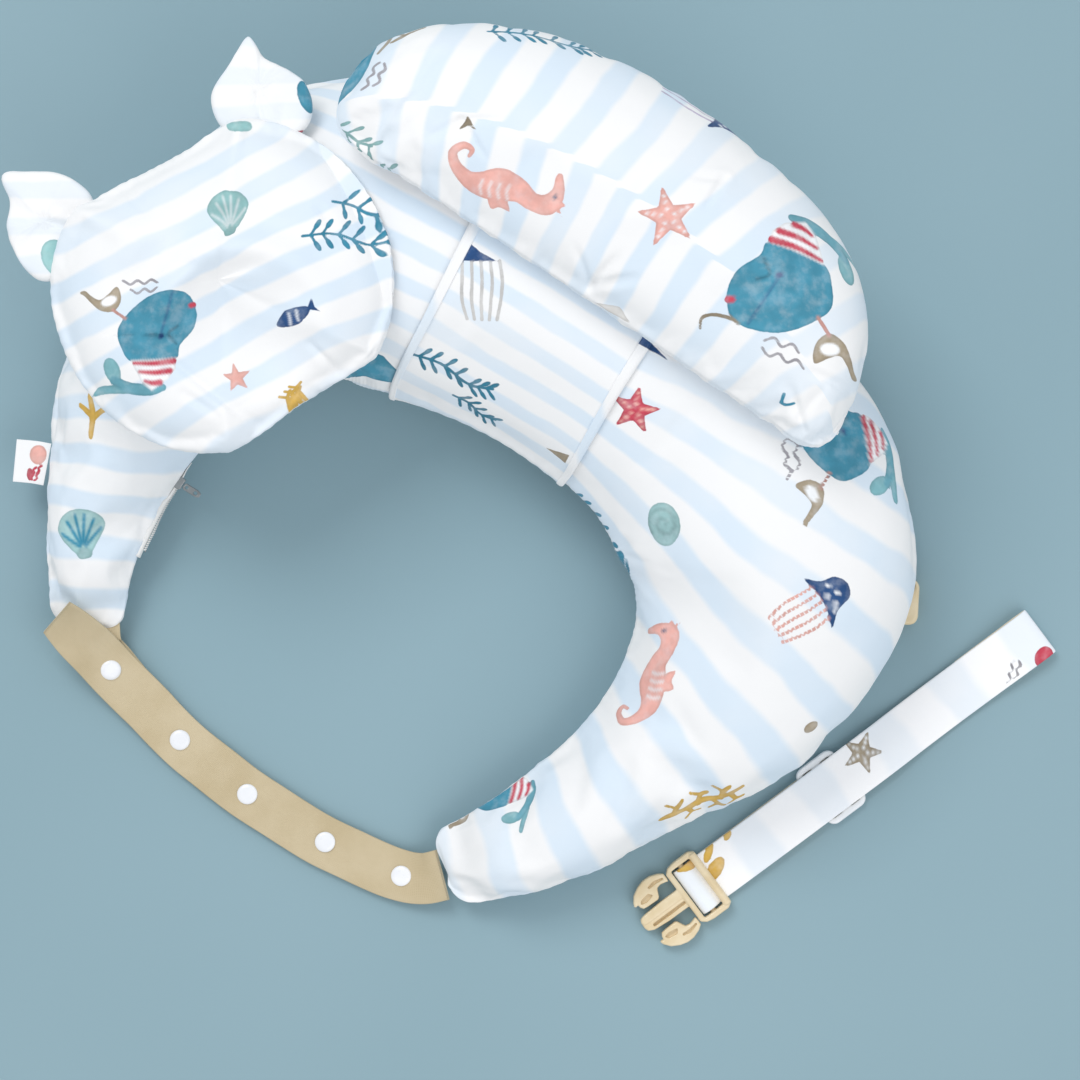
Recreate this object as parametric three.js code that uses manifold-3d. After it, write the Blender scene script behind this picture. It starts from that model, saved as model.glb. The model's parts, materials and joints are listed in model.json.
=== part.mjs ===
// Nursing pillow: a C-shaped cushion with a snap-on waist strap, a bolster on a stretch sleeve, an eared
// head pillow, and a buckled carrying belt that lies beside it. Millimetres, +Z up, resting on z = 0.
import * as THREE from "three";
import { mergeVertices } from "three/addons/utils/BufferGeometryUtils.js";
import Module from "manifold-3d";

const wasm = await Module();
wasm.setup();

// ---------------------------------------------------------------- driving dimensions
const CLOTH = 1.2; // wall of a sewn cover
const GAP = 0.3; // clearance between touching pieces
const DEG = Math.PI / 180;
const FAR = 400; // further out than any piece reaches

// Stuffed forms: half height = THINNEST + PLUMPNESS x half width, with the widest line FLAT_SHARE of it up.
const THINNEST = 6;
const PLUMPNESS = 0.59;
const FLAT_SHARE = 0.94;
const TURN_SHARE = 0.05; // the rings turn with the line's direction over this share of it each way
const END_REACH = 30; // a form with its skin moved out gets longer over this distance from each end
const PAD_FULLNESS = 0.8; // below 1 fills a pad out towards its rim

// Main cushion: x, y and half width along its middle line, from the left arm's end to the right arm's.
const MAIN_LINE = [
  [-279, -53, 24], [-274.5, -12, 29], [-263, 35, 39.5], [-243, 84, 52], [-201, 138, 66],
  [-131, 180, 90], [-45, 170, 95], [41, 126, 93], [108, 60, 90], [136, -18, 88],
  [110, -84, 67], [65, -130, 46], [13, -169, 37], [-34, -190, 28], [-60, -199, 24],
];

// The lower cover's cross seams: a point on the middle line and the seam's direction in plan.
const LOWER_SEAMS = [{ x: -201, y: 138, angle: 131 * DEG }, { x: 108, y: 60, angle: 33.4 * DEG }];

// Bolster: a half moon laid along the cushion's ridge, in its own frame: u along its straight side,
// v across it, outward. Each entry is u, the middle's v, and the half width.
const BOLSTER_ORIGIN = [-114.7, 240.9, 128];
const BOLSTER_TURN = -33.7 * DEG;
const BOLSTER_TILT = 14 * DEG; // outer side down
const BOLSTER_TILT_LINE = 55; // the v that keeps its height
const BOLSTER_LINE = [
  [-9, 24, 20], [6, 27, 37], [24, 34, 47], [60, 45, 58], [110, 52.5, 65.5], [166, 55, 68],
  [220, 52.5, 65.5], [262, 47.5, 60.5], [299, 37, 50], [321, 23, 35], [337, 7, 14],
];

// Head pillow: a round pad with a hollow for the baby's head, flattened on two sides.
const HEAD = { x: -184, y: 148, radius: 97, seam: 112, rise: 43, drop: 38 };
const HEAD_FLATS = [{ angle: 118.4 * DEG, reach: 80 }, { angle: -56.6 * DEG, reach: 83 }];
const DIMPLE = { x: 12, y: -20, radius: 46, depth: 19 };
const EAR_THICKNESS = 15;
const EAR_CLEARANCE = 4; // room for an ear to flop beside the head's seam
const LEFT_EAR = [
  [-258, 195], [-266, 207], [-277, 213], [-292, 215], [-314, 213], [-309, 198],
  [-311, 182], [-306, 166], [-298, 154], [-288, 149], [-276, 154], [-262, 172],
];
const TOP_EAR = [
  [-186, 240], [-192, 256], [-188, 268], [-180, 280], [-169, 295], [-161, 282],
  [-149, 276], [-137, 268], [-131, 254], [-134, 240], [-160, 228],
];

// Sleeve that holds the bolster: two cuts across the cushion, each a point on the ridge and a direction.
const SLEEVE_LEFT = { x: -45, y: 175, angle: 62.9 * DEG };
const SLEEVE_RIGHT = { x: 61, y: 107, angle: 57.6 * DEG };
const SLEEVE_CLOTH = 1.2;
const HEM_WIDTH = 7;
const HEM_CLOTH = 1.8;
const SLEEVE_LOW_EDGE = 30; // the printed cloth ends here and the stretch strip goes on underneath
const ELASTIC_INSET = 24; // the stretch strip is narrower than the printed cloth by this at each edge
const SLEEVE_REACH = 150; // more than the cushion's half width
const UNDER_RECESS = 2; // the cushion's dent over the stretch strip
const RECESS_MARGIN = 2;
const FLOOR_CLEARANCE = 0.2;

// Waist strap: middle line from its free end, over the left arm, to the right arm's end seam.
const STRAP_WIDTH = 32;
const STRAP_CLOTH = 2;
const STRAP_LINE = [
  [-294, -47, 35], [-282, -59, 26], [-264.5, -79.6, 12], [-245, -101, 6], [-222.5, -123.6, 4.5],
  [-181, -157, 4.5], [-132.9, -186.6, 4.5], [-85.3, -207.6, 5.6], [-72, -209, 9], [-60, -206, 14],
];
const SNAP_SHARES = [0.166, 0.37, 0.548, 0.736, 0.908]; // places along the strap
const SNAP_CAP_RADIUS = 6.3;
const SNAP_POST_RADIUS = 1.7;
const SOCKET_RADIUS = 5.4;
const SOCKET_HEIGHT = 2.8;
const TAB_CLOTH = 1.6;
const TAB_ROOT = [-276, -54.5, 14];
const STUD_RADIUS = 4;
const RIVET_RADIUS = 4.8;

// Belt: a webbing strip in its own frame, x from the buckle's front slot towards the far loop.
const BELT_ORIGIN = [92.6, -218.2];
const BELT_TURN = 36.8 * DEG;
const WEBBING_WIDTH = 32;
const WEBBING_CLOTH = 1.3;
const GLIDE_PLACE = 109; // the tri-glide's middle
const GLIDE = { length: 29, width: 43, low: 2.3, high: 5.4 };
const BELT_REACH = 271; // the far loop's fold
const BUCKLE_WIDTH = 43;
const PRONG_HEIGHT = 5.6;
const PRONG_LEVEL = 4.8;

// Short anchor strap and socket half of the buckle, tucked under the cushion's outer edge.
const ANCHOR_ORIGIN = [217.5, 26];
const ANCHOR_TURN = -93 * DEG;
const ANCHOR_LENGTH = 42;
const SOCKET_BUCKLE = { length: 35, width: 43, height: 11.5 };

// Zip in the left arm's inner seam.
const ZIP_ORIGIN = [-217.4, 33.2, 28];
const ZIP_TURN = Math.atan2(-0.84, -0.54);
const ZIP_START = -14; // from the slider to the zip's near end
const ZIP_LENGTH = 66;
const COIL_OFFSET = 5.3;

// ---------------------------------------------------------------- solids
function toSolid(geometry) {
  const bare = geometry.index ? geometry.toNonIndexed() : geometry.clone();
  bare.deleteAttribute("normal");
  bare.deleteAttribute("uv");
  const merged = mergeVertices(bare, 1e-3);
  return new wasm.Manifold(
    new wasm.Mesh({
      numProp: 3,
      vertProperties: merged.attributes.position.array,
      triVerts: new Uint32Array(merged.index.array),
    }),
  );
}

function toGeometry(solid) {
  const mesh = solid.getMesh();
  const places = new Float32Array(mesh.numVert * 3);
  for (let i = 0; i < mesh.numVert; i++) {
    places.set(mesh.vertProperties.subarray(i * mesh.numProp, i * mesh.numProp + 3), i * 3);
  }
  const geometry = new THREE.BufferGeometry();
  geometry.setAttribute("position", new THREE.BufferAttribute(places, 3));
  geometry.setIndex(new THREE.BufferAttribute(mesh.triVerts, 1));
  return geometry;
}

const subtract = (from, ...cutters) => cutters.reduce((left, cutter) => left.subtract(cutter), from);

// A cut can leave slivers beside the piece itself.
const largestBody = (solid) => solid.decompose().sort((a, b) => b.volume() - a.volume())[0];

// A plan outline, extruded from one height to another.
function prism(points, low, high) {
  const shape = new THREE.Shape(points.map(([x, y]) => new THREE.Vector2(x, y)));
  const geometry = new THREE.ExtrudeGeometry(shape, { depth: high - low, bevelEnabled: false });
  return toSolid(geometry.translate(0, 0, low));
}

function block(x0, x1, y0, y1, z0, z1) {
  const geometry = new THREE.BoxGeometry(x1 - x0, y1 - y0, z1 - z0);
  return toSolid(geometry.translate((x0 + x1) / 2, (y0 + y1) / 2, (z0 + z1) / 2));
}

function roundedPlate(x0, x1, y0, y1, corner, low, high) {
  const shape = new THREE.Shape();
  shape.moveTo(x0 + corner, y0);
  shape.lineTo(x1 - corner, y0);
  shape.absarc(x1 - corner, y0 + corner, corner, -Math.PI / 2, 0, false);
  shape.lineTo(x1, y1 - corner);
  shape.absarc(x1 - corner, y1 - corner, corner, 0, Math.PI / 2, false);
  shape.lineTo(x0 + corner, y1);
  shape.absarc(x0 + corner, y1 - corner, corner, Math.PI / 2, Math.PI, false);
  shape.lineTo(x0, y0 + corner);
  shape.absarc(x0 + corner, y0 + corner, corner, Math.PI, 1.5 * Math.PI, false);
  const geometry = new THREE.ExtrudeGeometry(shape, {
    depth: high - low, bevelEnabled: false, curveSegments: 3,
  });
  return toSolid(geometry.translate(0, 0, low));
}

// ---------------------------------------------------------------- soft forms
// A closed stuffed form swept along a line. Its rings are the rows of a sphere, moved into place, so each
// end closes at a pole. solid(grow, overSeam) is the form with its skin moved out by grow, and with
// overSeam only the part of it that is higher than that above the seam.
class SweptForm {
  constructor(line, { around, spacing, corner, pinch, endRise, lowSeam, across, seam }) {
    Object.assign(this, { around, corner, pinch, endRise, lowSeam, across, seam });
    const points = line.map(([x, y, half]) => new THREE.Vector3(x, y, half));
    this.curve = new THREE.CatmullRomCurve3(points, false, "centripetal");
    this.curve.arcLengthDivisions = 800;
    this.length = this.curve.getLength();
    const inner = Math.round((this.length - 2 * corner) / spacing);
    this.stops = [];
    for (const turn of [0, 45, 90]) this.stops.push(corner * (1 - Math.cos(turn * DEG)));
    for (let i = 1; i < inner; i++) {
      this.stops.push(corner + ((this.length - 2 * corner) * i) / inner);
    }
    for (const turn of [90, 45, 0]) this.stops.push(this.length - corner * (1 - Math.cos(turn * DEG)));
  }

  ring(stop, grow) {
    const share = stop / this.length;
    const at = this.curve.getPointAt(share);
    const back = this.curve.getPointAt(Math.max(0, share - TURN_SHARE));
    const way = this.curve.getPointAt(Math.min(1, share + TURN_SHARE)).sub(back).setZ(0).normalize();
    const fromEnd = Math.min(stop, this.length - stop);
    const turned = Math.max(0, 1 - fromEnd / this.corner);
    const inset = this.corner * (1 - Math.sqrt(Math.max(0, 1 - turned * turned)));
    const nearEnd = Math.max(0, 1 - fromEnd / END_REACH) * (stop < this.length / 2 ? -1 : 1);
    const rest = 1 - Math.min(1, fromEnd / this.pinch);
    const full = THINNEST + PLUMPNESS * at.z;
    const rise = Math.max(this.endRise, full * Math.sqrt(1 - rest * rest));
    return {
      x: at.x + way.x * grow * nearEnd,
      y: at.y + way.y * grow * nearEnd,
      sideX: this.across ? this.across[0] : way.y,
      sideY: this.across ? this.across[1] : -way.x,
      half: at.z - inset + grow,
      rise: rise + grow,
      seam: this.seam ?? Math.max(FLAT_SHARE * rise, this.lowSeam),
    };
  }

  solid(grow, overSeam = null) {
    const rows = this.stops.length + 1;
    const geometry = new THREE.SphereGeometry(1, this.around, rows);
    const places = geometry.attributes.position;
    for (let i = 0; i < places.count; i++) {
      const row = Math.floor(i / (this.around + 1));
      const turn = (2 * Math.PI * (i % (this.around + 1))) / this.around;
      const stop = this.stops[Math.min(Math.max(row - 1, 0), rows - 2)];
      const ring = this.ring(stop, grow);
      const pole = row === 0 || row === rows;
      const reach = pole ? 0 : ring.half * Math.cos(turn);
      let z = ring.seam + (pole ? 0 : ring.rise * Math.sin(turn));
      if (overSeam !== null) z = Math.max(z, ring.seam + overSeam);
      places.setXYZ(i, ring.x + ring.sideX * reach, ring.y + ring.sideY * reach, z);
    }
    return toSolid(geometry);
  }
}

// A closed stuffed pad with a given rim, domed above and below its seam, with an optional hollow on top.
class PadForm {
  constructor({ rim, x, y, seam, rise, drop, hollow, around, rows }) {
    Object.assign(this, { rim, x, y, seam, rise, drop, hollow, around, rows });
  }

  solid(grow, overSeam = null) {
    const geometry = new THREE.SphereGeometry(1, this.around, this.rows);
    const places = geometry.attributes.position;
    for (let i = 0; i < places.count; i++) {
      const down = (Math.PI * Math.floor(i / (this.around + 1))) / this.rows;
      const edge = this.rim((i % (this.around + 1)) / this.around);
      const reach = edge.length();
      const share = (Math.sin(down) * (reach + grow)) / reach;
      const x = edge.x * share;
      const y = edge.y * share;
      const up = Math.cos(down);
      const height = (up > 0 ? this.rise : this.drop) + grow;
      let z = this.seam + height * Math.sign(up) * Math.abs(up) ** PAD_FULLNESS;
      if (up > 0 && this.hollow) z -= this.hollow(x, y) * up;
      if (overSeam !== null) z = Math.max(z, this.seam + overSeam);
      places.setXYZ(i, this.x + x, this.y + y, z);
    }
    return toSolid(geometry);
  }
}

const mainForm = new SweptForm(MAIN_LINE, {
  around: 12, spacing: 33, corner: 9, pinch: 46, endRise: 4, lowSeam: 14,
});
const above = (height) => block(-FAR, FAR, -FAR, FAR, height, FAR);

const bolsterForm = new SweptForm(BOLSTER_LINE, {
  around: 10, spacing: 32, corner: 13, pinch: 40, endRise: 6, seam: 0, across: [0, -1],
});
const bolsterFrame = new THREE.Matrix4()
  .makeTranslation(...BOLSTER_ORIGIN)
  .multiply(new THREE.Matrix4().makeRotationZ(BOLSTER_TURN))
  .multiply(new THREE.Matrix4().makeTranslation(0, BOLSTER_TILT_LINE, 0))
  .multiply(new THREE.Matrix4().makeRotationX(-BOLSTER_TILT))
  .multiply(new THREE.Matrix4().makeTranslation(0, -BOLSTER_TILT_LINE, 0));

function headRim(share) {
  const angle = 2 * Math.PI * share;
  let reach = HEAD.radius;
  for (const flat of HEAD_FLATS) {
    const off = Math.cos(angle - flat.angle);
    if (off > 0) reach = Math.min(reach, flat.reach / off);
  }
  return new THREE.Vector2(reach * Math.cos(angle), reach * Math.sin(angle));
}

function headHollow(x, y) {
  const away = Math.hypot(x - DIMPLE.x, y - DIMPLE.y) / DIMPLE.radius;
  return DIMPLE.depth * Math.exp(-away * away);
}

const headForm = new PadForm({
  ...HEAD, rim: headRim, hollow: headHollow, around: 20, rows: 9,
});

function earForm(outline, thickness) {
  const rim = new THREE.CatmullRomCurve3(
    outline.map(([x, y]) => new THREE.Vector3(x, y, 0)), true, "centripetal",
  );
  const middle = new THREE.Vector2();
  for (const [x, y] of outline) middle.add(new THREE.Vector2(x, y).divideScalar(outline.length));
  const start = rim.getPointAt(0);
  const ahead = rim.getPointAt(0.25);
  const turnsLeft = (start.x - middle.x) * (ahead.y - middle.y) > (start.y - middle.y) * (ahead.x - middle.x);
  return new PadForm({
    x: middle.x, y: middle.y, seam: HEAD.seam, rise: thickness / 2, drop: thickness / 2,
    around: 16, rows: 5,
    rim: (share) => {
      const at = rim.getPointAt(turnsLeft ? share % 1 : (1 - share) % 1);
      return new THREE.Vector2(at.x - middle.x, at.y - middle.y);
    },
  });
}

// ---------------------------------------------------------------- the scene graph
const pillow = new THREE.Group();

function addPiece(name, geometry, colour, roughness, parent = pillow) {
  const material = new THREE.MeshStandardMaterial({ color: colour, roughness, metalness: 0 });
  const mesh = new THREE.Mesh(geometry, material);
  mesh.name = name;
  parent.add(mesh);
  return mesh;
}

const PRINTED = 0xf2f5f9;
const PLAIN_WHITE = 0xf7f7f5;
const FILLING = 0xfbfbf9;
const TAN = 0xcdbea0;
const BEIGE_PLASTIC = 0xe8d6b9;
const WHITE_PLASTIC = 0xf5f6f8;
const GREY_METAL = 0x9ba0a2;

// A filling inside an upper panel and one or more lower panels that meet it at the seam. form(grow, overSeam)
// gives the stuffed form, rest(grow) what it is laid on, whose shape it takes, and seams cuts the lower panels.
function addStuffedPiece(name, panels, form, rest, { matrix = new THREE.Matrix4(), seams = [] } = {}) {
  const outside = 4 * CLOTH;
  const place = (solid) => toSolid(toGeometry(solid).applyMatrix4(matrix));
  const skin = subtract(place(form(0)), rest(0)).subtract(
    subtract(place(form(-CLOTH)), rest(CLOTH)),
  );
  const filling = subtract(place(form(-CLOTH - 2 * GAP)), rest(CLOTH + 2 * GAP));
  const upper = largestBody(skin.intersect(place(form(outside, GAP / 2))));
  const lower = subtract(largestBody(skin.subtract(place(form(outside, -GAP / 2)))), ...seams).decompose();
  lower.sort((a, b) => a.boundingBox().min[0] - b.boundingBox().min[0]);
  addPiece(name + "_filling", toGeometry(largestBody(filling)), FILLING, 0.95);
  addPiece(panels[0], toGeometry(upper), PRINTED, 0.85);
  panels.slice(1).forEach((panel, i) => addPiece(panel, toGeometry(lower[i]), PRINTED, 0.85));
}

// The plan outline of the ground the sleeve covers, made narrower by inset at each cut.
function sleeveCut(inset, reach = SLEEVE_REACH) {
  const corners = [];
  const along = Math.atan2(SLEEVE_RIGHT.y - SLEEVE_LEFT.y, SLEEVE_RIGHT.x - SLEEVE_LEFT.x);
  for (const [cut, way] of [[SLEEVE_LEFT, 1], [SLEEVE_RIGHT, -1]]) {
    const x = cut.x + inset * way * Math.cos(along);
    const y = cut.y + inset * way * Math.sin(along);
    const dx = Math.cos(cut.angle) * reach;
    const dy = Math.sin(cut.angle) * reach;
    corners.push([x - way * dx, y - way * dy], [x + way * dx, y + way * dy]);
  }
  return [corners[1], corners[0], corners[3], corners[2]];
}

function addMainCushion() {
  const recess = (grow) => prism(sleeveCut(-RECESS_MARGIN - grow), -FAR, UNDER_RECESS + grow);
  const form = (grow, overSeam = null) => mainForm.solid(grow, overSeam)
    .intersect(above(Math.max(0, -grow)));
  const seams = LOWER_SEAMS.map(({ x, y, angle }) => {
    const seam = new THREE.BoxGeometry(3 * SLEEVE_REACH, GAP, FAR).toNonIndexed();
    return toSolid(seam.rotateZ(angle).translate(x, y, 0)).intersect(
      toSolid(new THREE.CylinderGeometry(SLEEVE_REACH, SLEEVE_REACH, FAR, 24)
        .rotateX(Math.PI / 2).translate(x, y, 0)),
    );
  });
  const panels = ["main_cover_top", "main_cover_bottom_left", "main_cover_bottom_back",
    "main_cover_bottom_right"];
  addStuffedPiece("main_cushion", panels, form, recess, { seams });
}

function addSleeve() {
  const inside = mainForm.solid(GAP).intersect(above(UNDER_RECESS - GAP));
  const ring = (cloth) => mainForm.solid(GAP + cloth)
    .intersect(above(FLOOR_CLEARANCE))
    .subtract(inside);
  const between = (from, to) => prism(sleeveCut(from), SLEEVE_LOW_EDGE, FAR)
    .subtract(prism(sleeveCut(to, 2 * SLEEVE_REACH), -FAR, 2 * FAR));
  const printed = prism(sleeveCut(HEM_WIDTH + GAP), SLEEVE_LOW_EDGE, FAR);
  const band = ring(SLEEVE_CLOTH).intersect(printed);
  addPiece("sleeve_band", toGeometry(band), PRINTED, 0.85);
  const hems = ring(HEM_CLOTH).intersect(between(0, HEM_WIDTH)).decompose();
  hems.sort((a, b) => a.boundingBox().min[0] - b.boundingBox().min[0]);
  addPiece("sleeve_hem_left", toGeometry(hems[0]), PRINTED, 0.85);
  addPiece("sleeve_hem_right", toGeometry(hems[1]), PRINTED, 0.85);
  const under = prism(sleeveCut(ELASTIC_INSET), -FAR, SLEEVE_LOW_EDGE - GAP);
  addPiece("sleeve_elastic", toGeometry(ring(SLEEVE_CLOTH).intersect(under)), PLAIN_WHITE, 0.9);
}

function addBolster() {
  const rest = (grow) => mainForm.solid(HEM_CLOTH + 2 * GAP + grow);
  const form = (grow, overSeam) => bolsterForm.solid(grow, overSeam);
  addStuffedPiece("bolster", ["bolster_cover_top", "bolster_cover_bottom"], form, rest,
    { matrix: bolsterFrame });
}

function addHeadPillow() {
  const rest = (grow) => mainForm.solid(2 * GAP + grow);
  const form = (grow, overSeam) => headForm.solid(grow, overSeam);
  addStuffedPiece("head_pillow", ["head_cover_front", "head_cover_back"], form, rest);
  const hinge = headForm.solid(EAR_CLEARANCE);
  for (const [side, outline] of [["left", LEFT_EAR], ["top", TOP_EAR]]) {
    const ear = earForm(outline, EAR_THICKNESS);
    const cover = ear.solid(0).subtract(ear.solid(-CLOTH)).subtract(hinge);
    const filling = ear.solid(-CLOTH - GAP).subtract(hinge);
    addPiece(`ear_${side}_cover`, toGeometry(cover), PRINTED, 0.85);
    addPiece(`ear_${side}_filling`, toGeometry(filling), FILLING, 0.95);
  }
}

// ---------------------------------------------------------------- flat straps
// A flat strip bent along a line in space, with its width level.
function frameAt(curve, share) {
  const way = curve.getTangentAt(share);
  const side = new THREE.Vector3(-way.y, way.x, 0).normalize();
  const up = new THREE.Vector3().crossVectors(way, side);
  return new THREE.Matrix4().makeBasis(way, side, up).setPosition(curve.getPointAt(share));
}

function strip(curve, width, thickness, steps) {
  const geometry = new THREE.BoxGeometry(1, width, thickness, steps, 1, 1);
  const places = geometry.attributes.position;
  const at = new THREE.Vector3();
  for (let i = 0; i < places.count; i++) {
    at.fromBufferAttribute(places, i);
    const share = at.x + 0.5;
    at.setX(0).applyMatrix4(frameAt(curve, share));
    places.setXYZ(i, at.x, at.y, at.z);
  }
  return toSolid(geometry);
}

const strapCurve = new THREE.CatmullRomCurve3(
  STRAP_LINE.map((place) => new THREE.Vector3(...place)), false, "centripetal",
);

function lathe(profile, matrix) {
  const points = profile.map(([r, z]) => new THREE.Vector2(r, z));
  return new THREE.LatheGeometry(points, 12).rotateX(Math.PI / 2).applyMatrix4(matrix);
}

const post = (radius, low, high, matrix) => toSolid(
  lathe([[0, low], [radius, low], [radius, high], [0, high]], matrix),
);

// One snap: a cap with its post on the strap's face, and the ring-shaped socket riveted on underneath.
function addSnap(number, matrix) {
  const top = STRAP_CLOTH / 2 + GAP;
  const under = -STRAP_CLOTH / 2 - GAP;
  const cap = [
    [0, under - 1.2], [SNAP_POST_RADIUS, under - 1.2], [SNAP_POST_RADIUS, top], [SNAP_CAP_RADIUS, top],
    [SNAP_CAP_RADIUS, top + 0.8], [SNAP_CAP_RADIUS - 1.2, top + 1.7], [0, top + 2],
  ];
  const bore = SNAP_POST_RADIUS + GAP;
  const socket = [
    [bore, under - SOCKET_HEIGHT], [SOCKET_RADIUS - 0.6, under - SOCKET_HEIGHT],
    [SOCKET_RADIUS, under - SOCKET_HEIGHT + 0.8], [SOCKET_RADIUS, under], [bore, under],
    [bore, under - SOCKET_HEIGHT],
  ];
  addPiece(`snap_cap_${number}`, lathe(cap, matrix), WHITE_PLASTIC, 0.35);
  addPiece(`snap_socket_${number}`, lathe(socket, matrix), WHITE_PLASTIC, 0.35);
}

function addWaistStrap() {
  let strap = strip(strapCurve, STRAP_WIDTH, STRAP_CLOTH, 24).subtract(mainForm.solid(2 * GAP));
  strap = largestBody(strap);
  SNAP_SHARES.forEach((share, i) => {
    const matrix = frameAt(strapCurve, share);
    strap = subtract(
      strap,
      post(SNAP_POST_RADIUS + GAP, -4, 4, matrix),
      post(SNAP_CAP_RADIUS + GAP, STRAP_CLOTH / 2, 6, matrix), // the riveted halves press the cloth flat
      post(SOCKET_RADIUS + GAP, -6, -STRAP_CLOTH / 2, matrix),
    );
    addSnap(i + 1, matrix);
  });
  addPiece("waist_strap", toGeometry(strap), TAN, 0.9);
}

// The tab sewn into the left arm's end, whose stud clicks into the strap's first socket.
function addWaistTab() {
  const studTop = -STRAP_CLOTH / 2 - GAP - SOCKET_HEIGHT - GAP;
  const level = studTop - GAP - TAB_CLOTH / 2 - 0.6;
  const under = (share, drop) => new THREE.Vector3(0, 0, drop).applyMatrix4(frameAt(strapCurve, share));
  const first = SNAP_SHARES[0];
  const curve = new THREE.CatmullRomCurve3([
    new THREE.Vector3(...TAB_ROOT),
    under(first - 0.045, level),
    under(first, level),
    under(first + 0.05, level + 0.8),
    under(first + 0.11, level + 2.8),
  ], false, "centripetal");
  const matrix = frameAt(strapCurve, first);
  const face = level + TAB_CLOTH / 2 + GAP;
  const back = level - TAB_CLOTH / 2 - GAP;
  const tab = strip(curve, STRAP_WIDTH - 3, TAB_CLOTH, 12)
    .subtract(mainForm.solid(2 * GAP))
    .subtract(post(SNAP_POST_RADIUS + GAP, -14, 0, matrix))
    .subtract(post(STUD_RADIUS + GAP, face - GAP, 0, matrix))
    .subtract(post(RIVET_RADIUS + GAP, -16, back + GAP, matrix));
  addPiece("waist_tab", toGeometry(tab), TAN, 0.9);
  const stud = [
    [0, back + 0.4], [1.1, back + 0.4], [1.1, face], [STUD_RADIUS, face], [STUD_RADIUS, face + 0.6],
    [1.5, face + 0.6], [1.5, studTop + 1.3], [0, studTop + 1.3],
  ];
  const rivet = [
    [1.4, back - 0.9], [RIVET_RADIUS - 0.4, back - 0.9], [RIVET_RADIUS, back], [1.4, back],
    [1.4, back - 0.9],
  ];
  addPiece("tab_stud", lathe(stud, matrix), WHITE_PLASTIC, 0.35);
  addPiece("tab_rivet", lathe(rivet, matrix), WHITE_PLASTIC, 0.35);
}

// ---------------------------------------------------------------- seam fittings
function addZip() {
  const group = new THREE.Group();
  group.position.set(...ZIP_ORIGIN);
  group.rotation.z = ZIP_TURN;
  group.updateMatrixWorld(true);
  pillow.add(group);
  const toFrame = group.matrixWorld.clone().invert();
  const cushion = toSolid(toGeometry(mainForm.solid(GAP)).applyMatrix4(toFrame));
  const tape = block(ZIP_START, ZIP_START + ZIP_LENGTH, -4, 4.2, -0.5, 0.5).subtract(cushion);
  addPiece("zip_tape", toGeometry(largestBody(tape)), PLAIN_WHITE, 0.9, group);
  const coil = new THREE.CylinderGeometry(0.8, 0.8, ZIP_LENGTH, 8).rotateZ(Math.PI / 2);
  coil.translate(ZIP_START + ZIP_LENGTH / 2, COIL_OFFSET, 0);
  addPiece("zip_coil", coil, PLAIN_WHITE, 0.6, group);
  const channel = new THREE.Shape([
    [7.6, -2], [7.6, 2], [3.2, 2], [3.2, 1.2], [6.6, 1.2], [6.6, -1.2], [3.2, -1.2], [3.2, -2],
  ].map(([y, z]) => new THREE.Vector2(y, z)));
  const slider = new THREE.ExtrudeGeometry(channel, { depth: 8, bevelEnabled: false });
  slider.translate(0, 0, -4).applyMatrix4(new THREE.Matrix4().makeBasis(
    new THREE.Vector3(0, 1, 0), new THREE.Vector3(0, 0, 1), new THREE.Vector3(1, 0, 0),
  ));
  addPiece("zip_slider", slider, GREY_METAL, 0.4, group);
  const pull = roundedPlate(-2.2, 2.2, 8.2, 20, 2, -0.7, 0.7);
  addPiece("zip_pull", toGeometry(pull), GREY_METAL, 0.4, group);
}

function addSideLabel() {
  const outline = [[-297, 60], [-317, 62], [-322, 36], [-299.5, 31]];
  const label = prism(outline, 28.5, 29.9).subtract(mainForm.solid(2 * GAP));
  addPiece("side_label", toGeometry(label), PLAIN_WHITE, 0.6);
}

// ---------------------------------------------------------------- belt
// A strip of webbing seen from its edge: its middle line in x and z, extruded across its width.
function webbing(line, width, thickness, steps) {
  const curve = new THREE.CatmullRomCurve3(
    line.map(([x, z]) => new THREE.Vector3(x, z, 0)), false, "centripetal",
  );
  const left = [];
  const right = [];
  for (let i = 0; i <= steps; i++) {
    const at = curve.getPointAt(i / steps);
    const way = curve.getTangentAt(i / steps);
    left.push(new THREE.Vector2(at.x - (way.y * thickness) / 2, at.y + (way.x * thickness) / 2));
    right.unshift(new THREE.Vector2(at.x + (way.y * thickness) / 2, at.y - (way.x * thickness) / 2));
  }
  const shape = new THREE.Shape([...left, ...right]);
  const geometry = new THREE.ExtrudeGeometry(shape, { depth: width, bevelEnabled: false });
  return geometry.rotateX(Math.PI / 2).translate(0, width / 2, 0);
}

function addBeltWebbing(group) {
  const line = [
    [GLIDE_PLACE + 8, 1], [60, 1], [22, 1], [8, 1], [1.6, 1.2], [-0.9, 3.9], [2, 6.9], [6, 7.3], [9, 6.2],
    [12, 3.7], [18, 3.5], [26, 4.2], [GLIDE_PLACE - 42, 6.2], [GLIDE_PLACE - 16, 6.6], [GLIDE_PLACE, 6.7],
    [GLIDE_PLACE + 17, 6.6], [GLIDE_PLACE + 38, 6.3], [GLIDE_PLACE + 64, 3.4], [GLIDE_PLACE + 88, 2.6],
    [BELT_REACH - 45, 4],
    [BELT_REACH - 18, 6.8], [BELT_REACH - 5, 7], [BELT_REACH, 4.2], [BELT_REACH - 5, 1.3],
    [BELT_REACH - 20, 1], [BELT_REACH - 54, 1],
  ];
  addPiece("belt_webbing", webbing(line, WEBBING_WIDTH, WEBBING_CLOTH, 96), PRINTED, 0.85, group);
}

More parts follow.
